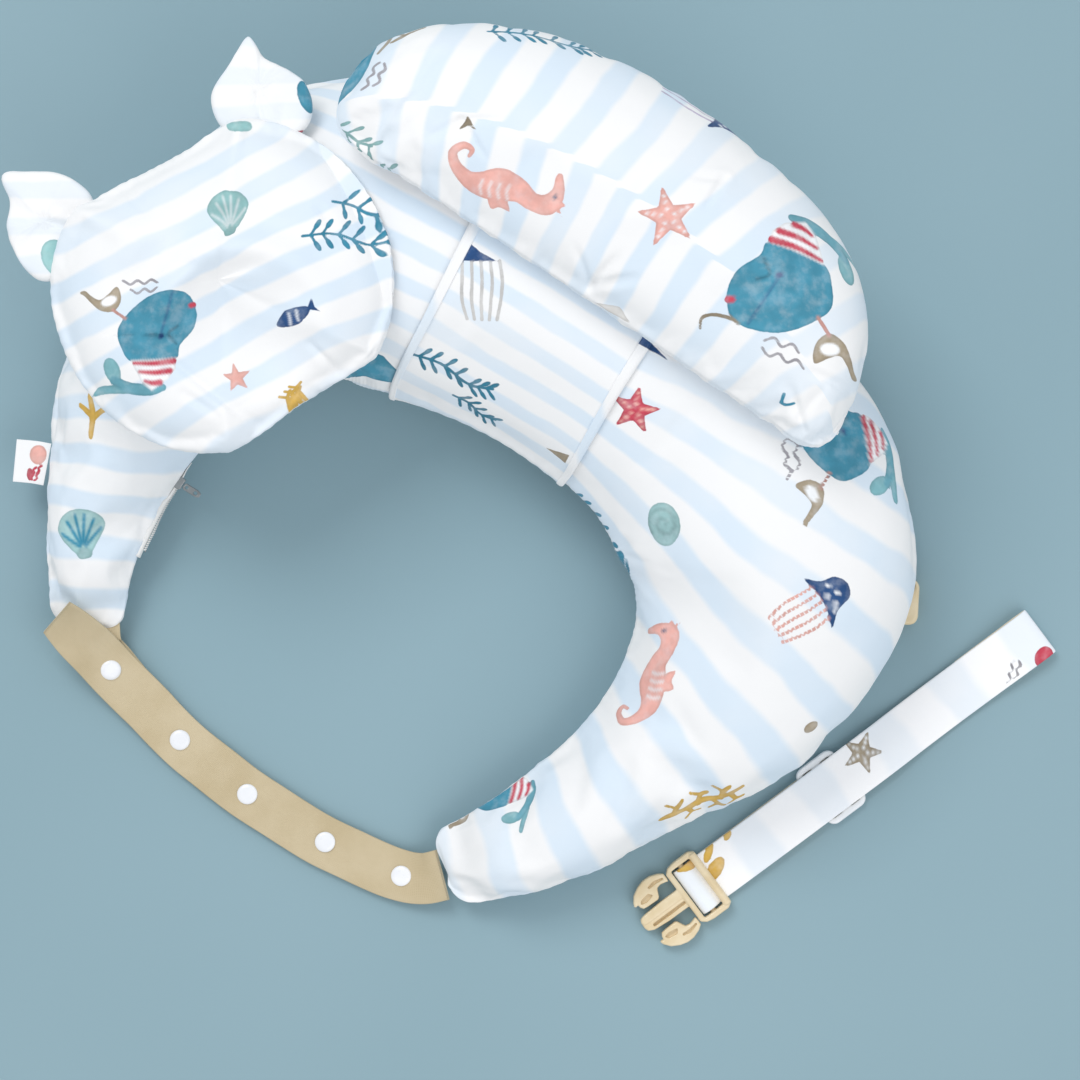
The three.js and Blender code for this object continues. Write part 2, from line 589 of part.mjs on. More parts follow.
function addGlide(group) {
  const side = GLIDE.width / 2;
  const from = GLIDE_PLACE - GLIDE.length / 2;
  const frame = roundedPlate(from, from + GLIDE.length, -side, side, 4, GLIDE.low, GLIDE.high);
  const slot = (low, high) => roundedPlate(
    GLIDE_PLACE + low, GLIDE_PLACE + high, 4 - side, side - 4, 1.5, GLIDE.low - 1, GLIDE.high + 1,
  );
  const glide = subtract(frame, slot(-10.5, -3), slot(3, 10.5));
  addPiece("tri_glide", toGeometry(glide), WHITE_PLASTIC, 0.35, group);
}

// Plan outline of one prong: out from the buckle's front bar, round its nose and back to its barb.
function prongShape() {
  const shape = new THREE.Shape();
  shape.moveTo(-5.2, 13.6);
  shape.lineTo(-5.2, 19.6);
  shape.quadraticCurveTo(-14, 24.2, -22, 22.8);
  shape.quadraticCurveTo(-30, 21, -32.6, 14.2);
  shape.quadraticCurveTo(-32.4, 9.4, -28, 8.6);
  shape.lineTo(-17, 8.4);
  shape.lineTo(-15.2, 11.8);
  shape.quadraticCurveTo(-14.4, 17.4, -9, 15.6);
  shape.lineTo(-5.2, 13.6);
  return shape;
}

function addMaleBuckle(group) {
  const half = BUCKLE_WIDTH / 2;
  const frame = roundedPlate(-4.8, 17.6, -half, half, 5, 1.6, 8.6)
    .subtract(block(-2, 12.6, -17.6, 17.6, 0, 10))
    .subtract(block(12.5, 19, -17.6, 17.6, 0, 4.9));
  const middleBar = block(3.2, 7.4, -half + 2, half - 2, 2.7, 5.9);
  const backBar = toSolid(new THREE.CylinderGeometry(2.3, 2.3, 2 * half - 8, 12).translate(15.2, 0, 7.2));
  const guide = prism([[-4, 6.6], [-4, -6.2], [-31, -5.4], [-35, -3.2], [-35.4, 3.4], [-32, 5.8]], 2.9, 6.7);
  const groove = roundedPlate(-29, -6, -3.4, -1.4, 0.8, 4.4, 8);
  const body = frame.add(middleBar).add(backBar).add(guide).subtract(groove);
  addPiece("buckle_male_body", toGeometry(body), BEIGE_PLASTIC, 0.4, group);
  for (const [side, flip] of [["left", 1], ["right", -1]]) {
    const geometry = new THREE.ExtrudeGeometry(prongShape(), {
      depth: PRONG_HEIGHT, bevelEnabled: false, curveSegments: 5,
    }).translate(0, 0, PRONG_LEVEL - PRONG_HEIGHT / 2);
    if (flip < 0) geometry.rotateX(Math.PI).translate(0, 0, 2 * PRONG_LEVEL);
    addPiece(`buckle_prong_${side}`, geometry, BEIGE_PLASTIC, 0.4, group);
  }
}

function addBelt() {
  const group = new THREE.Group();
  group.position.set(BELT_ORIGIN[0], BELT_ORIGIN[1], 0);
  group.rotation.z = BELT_TURN;
  pillow.add(group);
  addBeltWebbing(group);
  addGlide(group);
  addMaleBuckle(group);
}

// ---------------------------------------------------------------- anchor
function addAnchor() {
  const group = new THREE.Group();
  group.position.set(ANCHOR_ORIGIN[0], ANCHOR_ORIGIN[1], 0);
  group.rotation.z = ANCHOR_TURN;
  pillow.add(group);
  const { length, width, height } = SOCKET_BUCKLE;
  const far = ANCHOR_LENGTH;
  const line = [[0, 6], [10, 4.4], [22, 3.2], [far - 8, 5.6], [far + 1.2, 5.8]];
  addPiece("anchor_strap", webbing(line, WEBBING_WIDTH, WEBBING_CLOTH, 16), PRINTED, 0.85, group);
  const low = 0.3;
  const housing = roundedPlate(far + 2, far + 2 + length, -width / 2, width / 2, 5, low, low + height);
  const socket = block(far + 11, far + 4 + length, -18, 18, low + 2.2, low + height - 2.2);
  const windows = block(far + 16, far + 27, -width, width, low + 2.2, low + height - 2.2);
  const slot = block(far + 4.6, far + 8.2, -17, 17, -2, 20);
  addPiece("buckle_female", toGeometry(subtract(housing, socket, windows, slot)), BEIGE_PLASTIC, 0.4, group);
}

addMainCushion();
addSleeve();
addZip();
addSideLabel();
addWaistStrap();
addWaistTab();
addBolster();
addHeadPillow();
addBelt();
addAnchor();

// The origin is the middle of the whole object's footprint, on the surface it rests on.
const footprint = new THREE.Box3().setFromObject(pillow, true);
const middle = footprint.getCenter(new THREE.Vector3());
pillow.position.set(-middle.x, -middle.y, -footprint.min.z);

export default pillow;
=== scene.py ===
"""Nursing pillow: the looks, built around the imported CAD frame.

Tables are layout millimetres: the pillow's plan as the photo shows it, with z = 0 on the floor. place() takes
them to the frame's metres.
"""
import json
import math

import bpy
import numpy as np
from mathutils import Matrix, Vector, noise
from mathutils.bvhtree import BVHTree


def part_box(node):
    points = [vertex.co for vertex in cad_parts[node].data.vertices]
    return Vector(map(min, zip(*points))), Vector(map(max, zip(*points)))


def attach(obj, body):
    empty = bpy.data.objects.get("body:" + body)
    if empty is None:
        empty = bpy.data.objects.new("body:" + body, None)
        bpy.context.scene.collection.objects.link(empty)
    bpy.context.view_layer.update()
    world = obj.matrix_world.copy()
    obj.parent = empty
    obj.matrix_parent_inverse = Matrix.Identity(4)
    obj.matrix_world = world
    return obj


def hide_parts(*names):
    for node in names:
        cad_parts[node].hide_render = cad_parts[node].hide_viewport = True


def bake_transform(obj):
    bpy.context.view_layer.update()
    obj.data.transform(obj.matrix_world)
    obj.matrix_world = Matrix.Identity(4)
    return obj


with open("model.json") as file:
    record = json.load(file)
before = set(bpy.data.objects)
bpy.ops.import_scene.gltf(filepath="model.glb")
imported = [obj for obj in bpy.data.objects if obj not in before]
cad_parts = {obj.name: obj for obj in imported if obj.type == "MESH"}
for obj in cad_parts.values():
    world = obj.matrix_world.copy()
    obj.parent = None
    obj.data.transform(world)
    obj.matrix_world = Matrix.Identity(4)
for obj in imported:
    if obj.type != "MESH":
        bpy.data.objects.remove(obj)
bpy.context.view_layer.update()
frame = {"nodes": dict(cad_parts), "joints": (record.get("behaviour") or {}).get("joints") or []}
MM = 0.001
SCENE = bpy.context.scene

# The anchor strap's hinge is known in both frames, so it gives the shift between them.
ANCHOR_HINGE = np.array([217.5, 26.0, 6.0])
anchor_joint = next(j for j in frame["joints"] if j["name"] == "anchor_swing")
SHIFT = np.array(anchor_joint["pos_m"]) / MM - ANCHOR_HINGE

MAIN_LINE = [
    [-279, -53, 24], [-274.5, -12, 29], [-263, 35, 39.5], [-243, 84, 52], [-201, 138, 66],
    [-131, 180, 90], [-45, 170, 95], [41, 126, 93], [108, 60, 90], [136, -18, 88],
    [110, -84, 67], [65, -130, 46], [13, -169, 37], [-34, -190, 28], [-60, -199, 24],
]
BOLSTER_LINE = [
    [-9, 24, 20], [6, 27, 37], [24, 34, 47], [60, 45, 58], [110, 52.5, 65.5], [166, 55, 68],
    [220, 52.5, 65.5], [262, 47.5, 60.5], [299, 37, 50], [321, 23, 35], [337, 7, 14],
]
BOLSTER_ORIGIN = [-114.7, 240.9, 128]
BOLSTER_TURN = math.radians(-33.7)
BOLSTER_TILT = math.radians(14)
BOLSTER_TILT_LINE = 55
HEAD = (-184, 148)
HEAD_RADIUS, HEAD_SEAM, HEAD_RISE, HEAD_DROP = 97, 112, 43, 38
HEAD_FLATS = ((118.4, 80), (-56.6, 83))
EAR_RISE = 6.5
LEFT_EAR = [
    [-258, 195], [-266, 207], [-277, 213], [-292, 215], [-314, 213], [-309, 198],
    [-311, 182], [-306, 166], [-298, 154], [-288, 149], [-276, 154], [-262, 172],
]
TOP_EAR = [
    [-186, 240], [-192, 256], [-188, 268], [-180, 280], [-169, 295], [-161, 282],
    [-149, 276], [-137, 268], [-131, 254], [-134, 240], [-160, 228],
]
STRAP_LINE = [
    [-294, -47, 35], [-282, -59, 26], [-264.5, -79.6, 12], [-245, -101, 6], [-222.5, -123.6, 4.5],
    [-181, -157, 4.5], [-132.9, -186.6, 4.5], [-85.3, -207.6, 5.6], [-72, -209, 9], [-60, -206, 14],
]
SNAP_SHARES = (0.166, 0.37, 0.548, 0.736, 0.908)
SLEEVE_CUTS = ((-45, 175, 62.9), (61, 107, 57.6))
SLEEVE_FROM, SLEEVE_TO, HEM = -27, 207, 7.0
BELT_ORIGIN = (92.6, -218.2)
BELT_TURN = math.radians(36.8)
GLIDE_PLACE, BELT_REACH, WEBBING_WIDTH, WEBBING_THICK = 109, 271, 32, 1.3
ZIP_ORIGIN = (-217.4, 33.2, 28)
ZIP_TURN = math.atan2(-0.84, -0.54)
UP, DOWN = Vector((0, 0, 1)), Vector((0, 0, -1))
OVER_ALL, UNDER_ALL = 0.4, -0.1


def place(points):
    """Layout millimetres to frame metres."""
    return (np.asarray(points, float) + SHIFT) * MM


def plan_of(spots):
    """Frame metres to layout millimetres, seen from above."""
    return spots[:, :2] / MM - SHIFT[:2]


def turned(points, matrix):
    m = np.array(matrix)
    return points @ m[:3, :3].T + m[:3, 3]


# ------------------------------------------------------------------ curves and meshes
def smooth_line(points, closed=False, per=24):
    """A centripetal Catmull-Rom curve through the points."""
    p = np.array(points, float)
    n = len(p)
    out = []
    for i in range(n if closed else n - 1):
        p1, p2 = p[i], p[(i + 1) % n]
        p0 = p[i - 1] if i > 0 or closed else 2 * p[0] - p[1]
        p3 = p[(i + 2) % n] if i + 2 < n or closed else 2 * p[-1] - p[-2]
        d0, d1, d2 = (max(np.linalg.norm(b - a), 1e-9) ** 0.5 for a, b in ((p0, p1), (p1, p2), (p2, p3)))
        t1 = ((p1 - p0) / d0 - (p2 - p0) / (d0 + d1) + (p2 - p1) / d1) * d1
        t2 = ((p2 - p1) / d1 - (p3 - p1) / (d1 + d2) + (p3 - p2) / d2) * d1
        t = np.linspace(0, 1, per, endpoint=False)[:, None]
        out.append(p1 + t1 * t + (3 * (p2 - p1) - 2 * t1 - t2) * t**2 + (2 * (p1 - p2) + t1 + t2) * t**3)
    if not closed:
        out.append(p[-1:])
    return np.concatenate(out)


class Track:
    """A smooth line that is read by the length along it."""

    def __init__(self, points, closed=False):
        self.points = smooth_line(points, closed)
        if closed:
            self.points = np.vstack([self.points, self.points[:1]])
        steps = np.linalg.norm(np.diff(self.points, axis=0), axis=1)
        self.sums = np.concatenate([[0], np.cumsum(steps)])
        self.length = self.sums[-1]

    def at(self, s):
        s = np.clip(s, 0, self.length)
        return np.stack([np.interp(s, self.sums, column) for column in self.points.T], -1)


def fetch(items, field, size=3):
    out = np.zeros(len(items) * size, np.float32)
    items.foreach_get(field, out)
    return (out if size == 1 else out.reshape(-1, size)).astype(float)


def link_object(name, data):
    obj = bpy.data.objects.new(name, data)
    SCENE.collection.objects.link(obj)
    return obj


def make_mesh(name, places, faces):
    """A smooth mesh; a solid one faces outward."""
    mesh = bpy.data.meshes.new(name)
    mesh.from_pydata([tuple(v) for v in places], [], faces)
    mesh.update()
    centre, normal = fetch(mesh.polygons, "center"), fetch(mesh.polygons, "normal")
    outward = np.einsum("ij,ij->i", centre - centre.mean(0), normal) * fetch(mesh.polygons, "area", 1)
    if outward.sum() < 0:
        mesh.flip_normals()
    mesh.shade_smooth()
    return link_object(name, mesh)


def attribute(obj, name, values, kind="FLOAT"):
    layer = obj.data.attributes.get(name) or obj.data.attributes.new(name, kind, "POINT")
    field = {"FLOAT": "value", "FLOAT_VECTOR": "vector", "FLOAT_COLOR": "color"}[kind]
    layer.data.foreach_set(field, np.ascontiguousarray(values, np.float32).ravel())


def attribute_plan(obj, name, columns):
    """Stores two columns as a vector."""
    attribute(obj, name, np.column_stack([*np.transpose(columns), np.zeros(len(columns))]), "FLOAT_VECTOR")


def read_attribute(obj, name, size=1):
    return fetch(obj.data.attributes[name].data, "value" if size == 1 else "vector", size)


def places_of(obj):
    return fetch(obj.data.vertices, "co")


def normals_of(obj):
    return fetch(obj.data.vertex_normals, "vector")


def set_places(obj, places):
    obj.data.vertices.foreach_set("co", np.ascontiguousarray(places, np.float32).ravel())
    obj.data.update()


def settle(obj):
    """Applies the object's modifiers."""
    graph = bpy.context.evaluated_depsgraph_get()
    mesh = bpy.data.meshes.new_from_object(
        obj.evaluated_get(graph), preserve_all_data_layers=True, depsgraph=graph
    )
    obj.modifiers.clear()
    obj.data = mesh
    mesh.shade_smooth()


def subdivide(obj, levels):
    step = obj.modifiers.new("subdivide", "SUBSURF")
    step.levels = step.render_levels = levels
    settle(obj)


def remesh(obj, size):
    step = obj.modifiers.new("remesh", "REMESH")
    step.mode, step.voxel_size = "VOXEL", size
    settle(obj)


def noise_at(places, scale, seed=0.0):
    """Smooth noise, -1 to 1, at places in metres."""
    shift = Vector((seed, 1.7 * seed, 0.3 * seed))
    return np.array([noise.noise(Vector(p) * scale + shift) for p in places])


def grid_faces(rows, columns, closed):
    """Quads of a grid; closed joins the last column to the first."""
    last = columns if closed else columns - 1
    return [
        (r * columns + c, r * columns + (c + 1) % columns,
         (r + 1) * columns + (c + 1) % columns, (r + 1) * columns + c)
        for r in range(rows - 1) for c in range(last)
    ]


# ------------------------------------------------------------------ stuffed forms
class Sweep:
    """A stuffed form along a line; across and seam fix its side direction and its seam height."""

    def __init__(self, line, corner, pinch, end_rise, low_seam, across=None, seam=None):
        self.track = Track(line)
        self.corner, self.pinch, self.end_rise = corner, pinch, end_rise
        self.low_seam, self.across, self.seam = low_seam, across, seam

    def rings(self, stops, grow=0.0):
        """Centre, side direction, half width, half height and seam height at lengths along the line."""
        length = self.track.length
        at = self.track.at(stops)
        way = (self.track.at(stops + 0.05 * length) - self.track.at(stops - 0.05 * length))[:, :2]
        way /= np.linalg.norm(way, axis=1)[:, None]
        side = np.stack([way[:, 1], -way[:, 0]], -1)
        if self.across is not None:
            side = np.tile(np.array(self.across, float), (len(stops), 1))
        from_end = np.minimum(stops, length - stops)
        turned = np.clip(1 - from_end / self.corner, 0, 1)
        half = at[:, 2] - self.corner * (1 - np.sqrt(np.clip(1 - turned**2, 0, 1)))
        rest = 1 - np.minimum(1, from_end / self.pinch)
        rise = np.maximum(self.end_rise, (6 + 0.59 * at[:, 2]) * np.sqrt(1 - rest**2))
        seam = np.maximum(0.94 * rise, self.low_seam) if self.seam is None else np.full(len(stops), self.seam)
        return at[:, :2], side, half + grow, rise + grow, seam

    def stops(self, spacing):
        turns = self.corner * (1 - np.cos(np.radians([0, 30, 50, 70, 90])))
        length = self.track.length
        count = round((length - 2 * self.corner) / spacing)
        inner = self.corner + (length - 2 * self.corner) * np.arange(1, count) / count
        return np.concatenate([turns, inner, length - turns[::-1]])

    def piece(self, name, spacing, around, grow=0.0):
        stops = self.stops(spacing)
        middle, side, half, rise, seam = self.rings(stops, grow)
        turn = 2 * math.pi * np.arange(around + 1) / around
        reach = half[:, None] * np.cos(turn)
        height = seam[:, None] + rise[:, None] * np.sin(turn)
        steps = np.hypot(np.diff(reach, axis=1), np.diff(height, axis=1))
        sums = np.concatenate([np.zeros((len(stops), 1)), np.cumsum(steps, axis=1)], 1)
        quarter = around // 4
        over = np.where(
            np.arange(around + 1) <= 2 * quarter,
            sums[:, quarter][:, None] - sums, sums - sums[:, 3 * quarter][:, None],
        )
        plan = middle[:, None, :] + side[:, None, :] * reach[..., None]
        spots = np.concatenate([plan, height[..., None]], -1)[:, :around].reshape(-1, 3)
        drawn = (middle[:, None, :] + side[:, None, :] * over[..., None])[:, :around].reshape(-1, 2)
        faces = grid_faces(len(stops), around, True)
        for base in (0, (len(stops) - 1) * around):
            for i in range(around // 2):
                ends = [i, i + 1, (around - i - 1) % around, (around - i) % around]
                face = [base + e for e in dict.fromkeys(ends)]
                faces.append(face if base else face[::-1])
        obj = make_mesh(name, spots, faces)
        attribute_plan(obj, "print", drawn)
        edge = (sums[:, quarter][:, None] - np.abs(over))[:, :around].ravel()
        attribute_plan(obj, "seam", np.column_stack([edge, np.repeat(stops, around)]))
        attribute(obj, "under", np.tile(np.arange(around) > around // 2, len(stops)))
        return obj


def head_reach(angle):
    reach = np.full(len(angle), float(HEAD_RADIUS))
    for direction, flat in HEAD_FLATS:
        off = np.cos(angle - math.radians(direction))
        reach = np.where(off > 0, np.minimum(reach, flat / np.maximum(off, 1e-6)), reach)
    return reach


def outline_reach(outline):
    """The reach of a closed outline from its middle, at any angle."""
    ring = smooth_line(outline, True, 16)
    middle = np.mean(outline, axis=0)
    away = ring - middle
    angles = np.unwrap(np.arctan2(away[:, 1], away[:, 0]))
    reaches = np.hypot(*away.T)
    order = np.argsort(angles % (2 * math.pi))
    return lambda angle: np.interp(
        angle % (2 * math.pi), (angles % (2 * math.pi))[order], reaches[order], period=2 * math.pi
    )


def pad_piece(name, middle, reach, seam, rise, drop, around, rows, fullness=0.8):
    """A closed pad over a plan outline, domed above and below its seam."""
    down = math.pi * np.arange(1, rows) / rows
    angle = 2 * math.pi * np.arange(around) / around
    rim = reach(angle)
    share = np.sin(down)[:, None] * rim
    up = np.cos(down)[:, None] + 0 * rim
    height = seam + np.where(up > 0, rise, drop) * np.sign(up) * np.abs(up) ** fullness
    spots = np.stack([middle[0] + share * np.cos(angle), middle[1] + share * np.sin(angle), height], -1)
    spots = spots.reshape(-1, 3)
    poles = [[*middle, seam + rise], [*middle, seam - drop]]
    faces = grid_faces(rows - 1, around, True)
    top, base = len(spots), (rows - 2) * around
    faces += [(top, (c + 1) % around, c) for c in range(around)]
    faces += [(top + 1, base + c, base + (c + 1) % around) for c in range(around)]
    obj = make_mesh(name, np.vstack([spots, poles]), faces)
    drawn = places_of(obj)
    attribute_plan(obj, "print", drawn[:, :2])
    attribute_plan(obj, "seam", np.column_stack([np.abs(drawn[:, 2] - seam), 0 * drawn[:, 0]]))
    attribute(obj, "under", drawn[:, 2] < seam - 0.01)
    return obj


def inflate(pieces, frames=20):
    """Blows the pieces up as cloth bags, each by at most its cap. pieces: (object, pressure, cap in mm)."""
    starts = {obj: places_of(obj) for obj, *_ in pieces}
    for obj, pressure, cap in pieces:
        pinned = obj.vertex_groups.new(name="seam")
        for i in np.nonzero(read_attribute(obj, "seam", 3)[:, 0] < 2.5)[0]:
            pinned.add([int(i)], 1.0, "REPLACE")
        cloth = obj.modifiers.new("cloth", "CLOTH")
        cloth.collision_settings.use_collision = cloth.collision_settings.use_self_collision = False
        cloth.point_cache.frame_start, cloth.point_cache.frame_end = 1, frames
        cloth.settings.effector_weights.gravity = 0
        for key, value in dict(
            quality=5, mass=0.25, tension_stiffness=12, compression_stiffness=12, shear_stiffness=4,
            bending_stiffness=0.3, use_pressure=True, uniform_pressure_force=pressure, shrink_min=-0.04,
            vertex_group_mass="seam",
        ).items():
            setattr(cloth.settings, key, value)
    for number in range(1, frames + 1):
        SCENE.frame_set(number)
    for obj, pressure, cap in pieces:
        settle(obj)
        moved = places_of(obj) - starts[obj]
        far = np.linalg.norm(moved, axis=1)[:, None]
        limit = cap * MM
        set_places(obj, starts[obj] + moved * (limit / np.maximum(limit, far)))
    SCENE.frame_set(1)


def calm(obj, middle, reach, rounds):
    """Smooths the cloth round a plan place, fading out at reach."""
    away = np.linalg.norm(plan_of(places_of(obj)) - middle, axis=1)
    group = obj.vertex_groups.new(name="calm")
    for i in np.nonzero(away < reach)[0]:
        group.add([int(i)], float(min(1, 1.6 * (1 - away[i] / reach))), "REPLACE")
    step = obj.modifiers.new("calm", "SMOOTH")
    step.vertex_group, step.factor, step.iterations = "calm", 0.5, rounds
    settle(obj)
    obj.vertex_groups.clear()


def to_metres(obj, matrix=Matrix()):
    set_places(obj, place(turned(places_of(obj), matrix)))


def surface_of(obj):
    mesh = obj.data
    mesh.calc_loop_triangles()
    return BVHTree.FromPolygons(places_of(obj).tolist(), [tuple(t.vertices) for t in mesh.loop_triangles])


def keep_above(obj, surface, gap, least):
    """Squeezes a pad up off the surface under it, column by column, so that its layers stay in order."""
    spots = places_of(obj)
    own = surface_of(obj)
    for i, (x, y, z) in enumerate(spots):
        from_over = Vector((x, y, OVER_ALL)), DOWN
        hit = surface.ray_cast(*from_over)[0]
        over, below = own.ray_cast(*from_over)[0], own.ray_cast(Vector((x, y, UNDER_ALL)), UP)[0]
        top, base = (over.z, below.z) if over and below else (z, z)
        if hit is None or base >= hit.z + gap:
            continue
        thick = max(top - base, 1e-6)
        roof = max(top, hit.z + gap + min(least, thick))
        spots[i, 2] = hit.z + gap + (z - base) / thick * (roof - hit.z - gap)
    set_places(obj, spots)


def rest_on_floor(obj, over):
    """Keeps a cushion's underside off the floor, and on top of the strip that runs under it."""
    spots = places_of(obj)
    corner, far_corner = (np.array(c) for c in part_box(over))
    margin, gap = 4 * MM, 0.4 * MM
    above = ((spots[:, :2] > corner[:2] - margin) & (spots[:, :2] < far_corner[:2] + margin)).all(1)
    spots[:, 2] = np.maximum(spots[:, 2], np.where(above, far_corner[2] + gap, 0.0))
    set_places(obj, spots)


# ------------------------------------------------------------------ folds
def fold(obj, folds, seed=0.0):
    """Presses creases (x, y, x, y, width, depth in mm, layout places) into the cloth's upper side."""
    spots, normal = places_of(obj), normals_of(obj)
    plan = plan_of(spots)
    push = np.zeros(len(spots))
    wander = noise_at(spots, 28, seed)
    for x0, y0, x1, y1, width, depth in folds:
        start, run = np.array([x0, y0]), np.array([x1 - x0, y1 - y0])
        share = np.clip(((plan - start) @ run) / (run @ run), 0, 1)
        away = np.linalg.norm(plan - start - share[:, None] * run, axis=1)
        beside = (away + 1.5 * wander) / width
        taper = np.sin(math.pi * np.clip(share * 0.86 + 0.12, 0, 1)) ** 0.7
        dip = (1 - 1.1 * beside**2) * np.exp(-(beside**2))
        push -= depth * taper * dip * (normal[:, 2] > 0.05)
    set_places(obj, spots + normal * push[:, None] * MM)


def crumple(obj, amount, scale, seed):
    """Shallow, soft unevenness of stuffed cloth."""
    spots = places_of(obj)
    push = noise_at(spots, scale, seed) + 0.5 * noise_at(spots, 2.3 * scale, seed + 4)
    set_places(obj, spots + normals_of(obj) * (amount * MM * push)[:, None])


def sew(obj, depth=1.1, width=2.0, pitch=7.0):
    """The groove and the small puckers along the seam."""
    seam = read_attribute(obj, "seam", 3)
    spots = places_of(obj)
    groove = -depth * np.exp(-((seam[:, 0] / width) ** 2))
    along = seam[:, 1] if np.ptp(seam[:, 1]) > 1 else np.arctan2(*(spots - spots.mean(0))[:, :2].T) * 95
    fade = np.exp(-((seam[:, 0] / 9) ** 2)) * (1 - np.exp(-((seam[:, 0] / 3) ** 2)))
    pucker = 0.2 * np.sin(2 * math.pi * along / pitch + 2 * noise_at(spots, 30, 3)) * fade
    set_places(obj, spots + normals_of(obj) * ((groove + pucker) * MM)[:, None])


# ------------------------------------------------------------------ print
def colour(code):
    parts = [int(code[i:i + 2], 16) / 255 for i in (0, 2, 4)]
    return np.array([p / 12.92 if p <= 0.04045 else ((p + 0.055) / 1.055) ** 2.4 for p in parts])


TEAL, NAVY, RED, PINK = colour("4A93AC"), colour("2B4F80"), colour("C8485A"), colour("EDB3A8")
MINT, SAND, GOLD, WHITE = colour("9CCBCB"), colour("A89A84"), colour("DDB459"), colour("F4F6F8")
LEAF, GREY, MAUVE = colour("3C8CA8"), colour("A9A6AC"), colour("C9BCD6")


def area_depth(outline, p):
    """Signed depth of p inside a closed outline."""
    a = np.asarray(outline, float)
    b = np.roll(a, -1, axis=0)
    run = b - a
    best = np.full(len(p), 1e9)
    inside = np.zeros(len(p), bool)
    for start, end, way in zip(a, b, run):
        t = np.clip(((p - start) @ way) / max(way @ way, 1e-9), 0, 1)
        best = np.minimum(best, np.linalg.norm(p - start - t[:, None] * way, axis=1))
        crosses = (start[1] > p[:, 1]) != (end[1] > p[:, 1])
        if abs(way[1]) > 1e-9:
            inside ^= crosses & (p[:, 0] < start[0] + (p[:, 1] - start[1]) * way[0] / way[1])
    return np.where(inside, best, -best)


def line_depth(points, p):
    """Depth inside a line drawn with a changing pen: points are (x, y, radius)."""
    q = np.asarray(points, float)
    best = np.full(len(p), -1e9)
    for a, b in zip(q[:-1], q[1:]):
        run = b[:2] - a[:2]
        t = np.clip(((p - a[:2]) @ run) / max(run @ run, 1e-9), 0, 1)
        away = np.linalg.norm(p - a[:2] - t[:, None] * run, axis=1)
        best = np.maximum(best, a[2] + (b[2] - a[2]) * t - away)
    return best


def area(points, ink, smooth=True):
    outline = smooth_line(points, True, 6) if smooth else np.array(points, float)
    return ("area", outline, ink)


def pen(points, ink, smooth=True):
    return ("line", smooth_line(points, False, 6) if smooth else np.array(points, float), ink)


def oval(x, y, rx, ry, turn, ink, count=20):
    a = 2 * math.pi * np.arange(count) / count
    px, py = rx * np.cos(a), ry * np.sin(a)
    c, s = math.cos(turn), math.sin(turn)
    return ("area", np.column_stack([x + px * c - py * s, y + px * s + py * c]), ink)


def gull(ink):
    return [
        area([(-12, 6.4), (-9, 7.8), (-5, 4.6), (0, 1.6), (5, 4.4), (10.4, 8.6), (12.4, 1), (8, -5.6),
              (0, -4.6), (-5.4, 0.4), (-9.4, 4.8)], ink),
        oval(5.4, 0.6, 4.6, 2.7, 0.3, WHITE),
        pen([(7.6, -5, 0.9), (14.4, -10.4, 0.9)], PINK * 0.7),
    ]


def squiggle(ink, size=1.0):
    """Two small rows of water ripples."""
    rows = []
    for x0, y0, count in ((-13, 3, 5), (-8, -4, 4)):
        row = [(x0 + 5 * i, y0 + 1.6 * (-1) ** i, 0.6) for i in range(count + 1)]
        rows.append(pen([(x * size, y * size, r) for x, y, r in row], ink))
    return rows


def moved(shapes, dx, dy):
    return [(kind, points + [dx, dy, 0][:points.shape[1]], ink) for kind, points, ink in shapes]


def whale():
    """A round whale with a striped belly, a gull on its back and a curly spout."""
    shapes = [
        area([(-7, -36.5), (-16, -35.5), (-26, -32), (-37, -31.6), (-38.5, -34), (-28, -36.5), (-17, -38),
              (-5, -39)], MINT * 0.5 + TEAL * 0.5),
        oval(-27.6, -23.5, 4.6, 7.6, 0.35, MINT * 0.6 + TEAL * 0.4),
        pen([(-27, -29, 2.4), (-18, -34.5, 3.2), (-6, -36.5, 3.4), (2, -36, 2.0)], MINT * 0.3 + TEAL * 0.7),
        area([(11.2, 19.6), (19, 16), (23, 5.5), (20.8, -4), (12.8, -13.5), (11.2, -20), (0, -20.2),
              (-16.7, -19.2), (-21.6, -10.4), (-23, -0.8), (-17.6, 7.2), (-6.4, 16), (3.2, 19.2)], TEAL),
        area([(-16.4, -19), (0, -20), (11, -20), (10, -26), (5, -32), (-4.8, -37.2), (-10.4, -32)], WHITE,
             False),
    ]
    for x0, y0, x1, y1 in ((-14.6, -20.8, 9.4, -21.8), (-11.4, -26, 6.8, -27), (-8.4, -31.4, 0.6, -33)):
        shapes.append(pen([(x0, y0, 0.9), ((x0 + x1) / 2, (y0 + y1) / 2 - 0.8, 1.4), (x1, y1, 1.7)], RED))
    shapes += [
        pen([(10.4, 18, 0.6), (6.6, 5.6, 0.6), (2.4, -7, 0.6)], NAVY * 0.5 + TEAL * 0.5),
        pen([(2.2, -7.4, 1.2), (3.2, -6.8, 1.2)], NAVY),
        pen([(12, -2, 0.6), (7, -6, 0.6), (11, -12, 0.6)], TEAL * 0.6),
        pen([(20, 9.6, 1.5), (21.6, 10, 1.5)], RED),
    ]
    return shapes + moved(gull(SAND), -32.5, 16) + moved(squiggle(GREY, 0.8), -8, 24.5)


def around_clock(count, start=math.pi / 2):
    """Unit steps at even angles, from the top."""
    return [(math.cos(a), math.sin(a)) for a in start + 2 * math.pi * np.arange(count) / count]


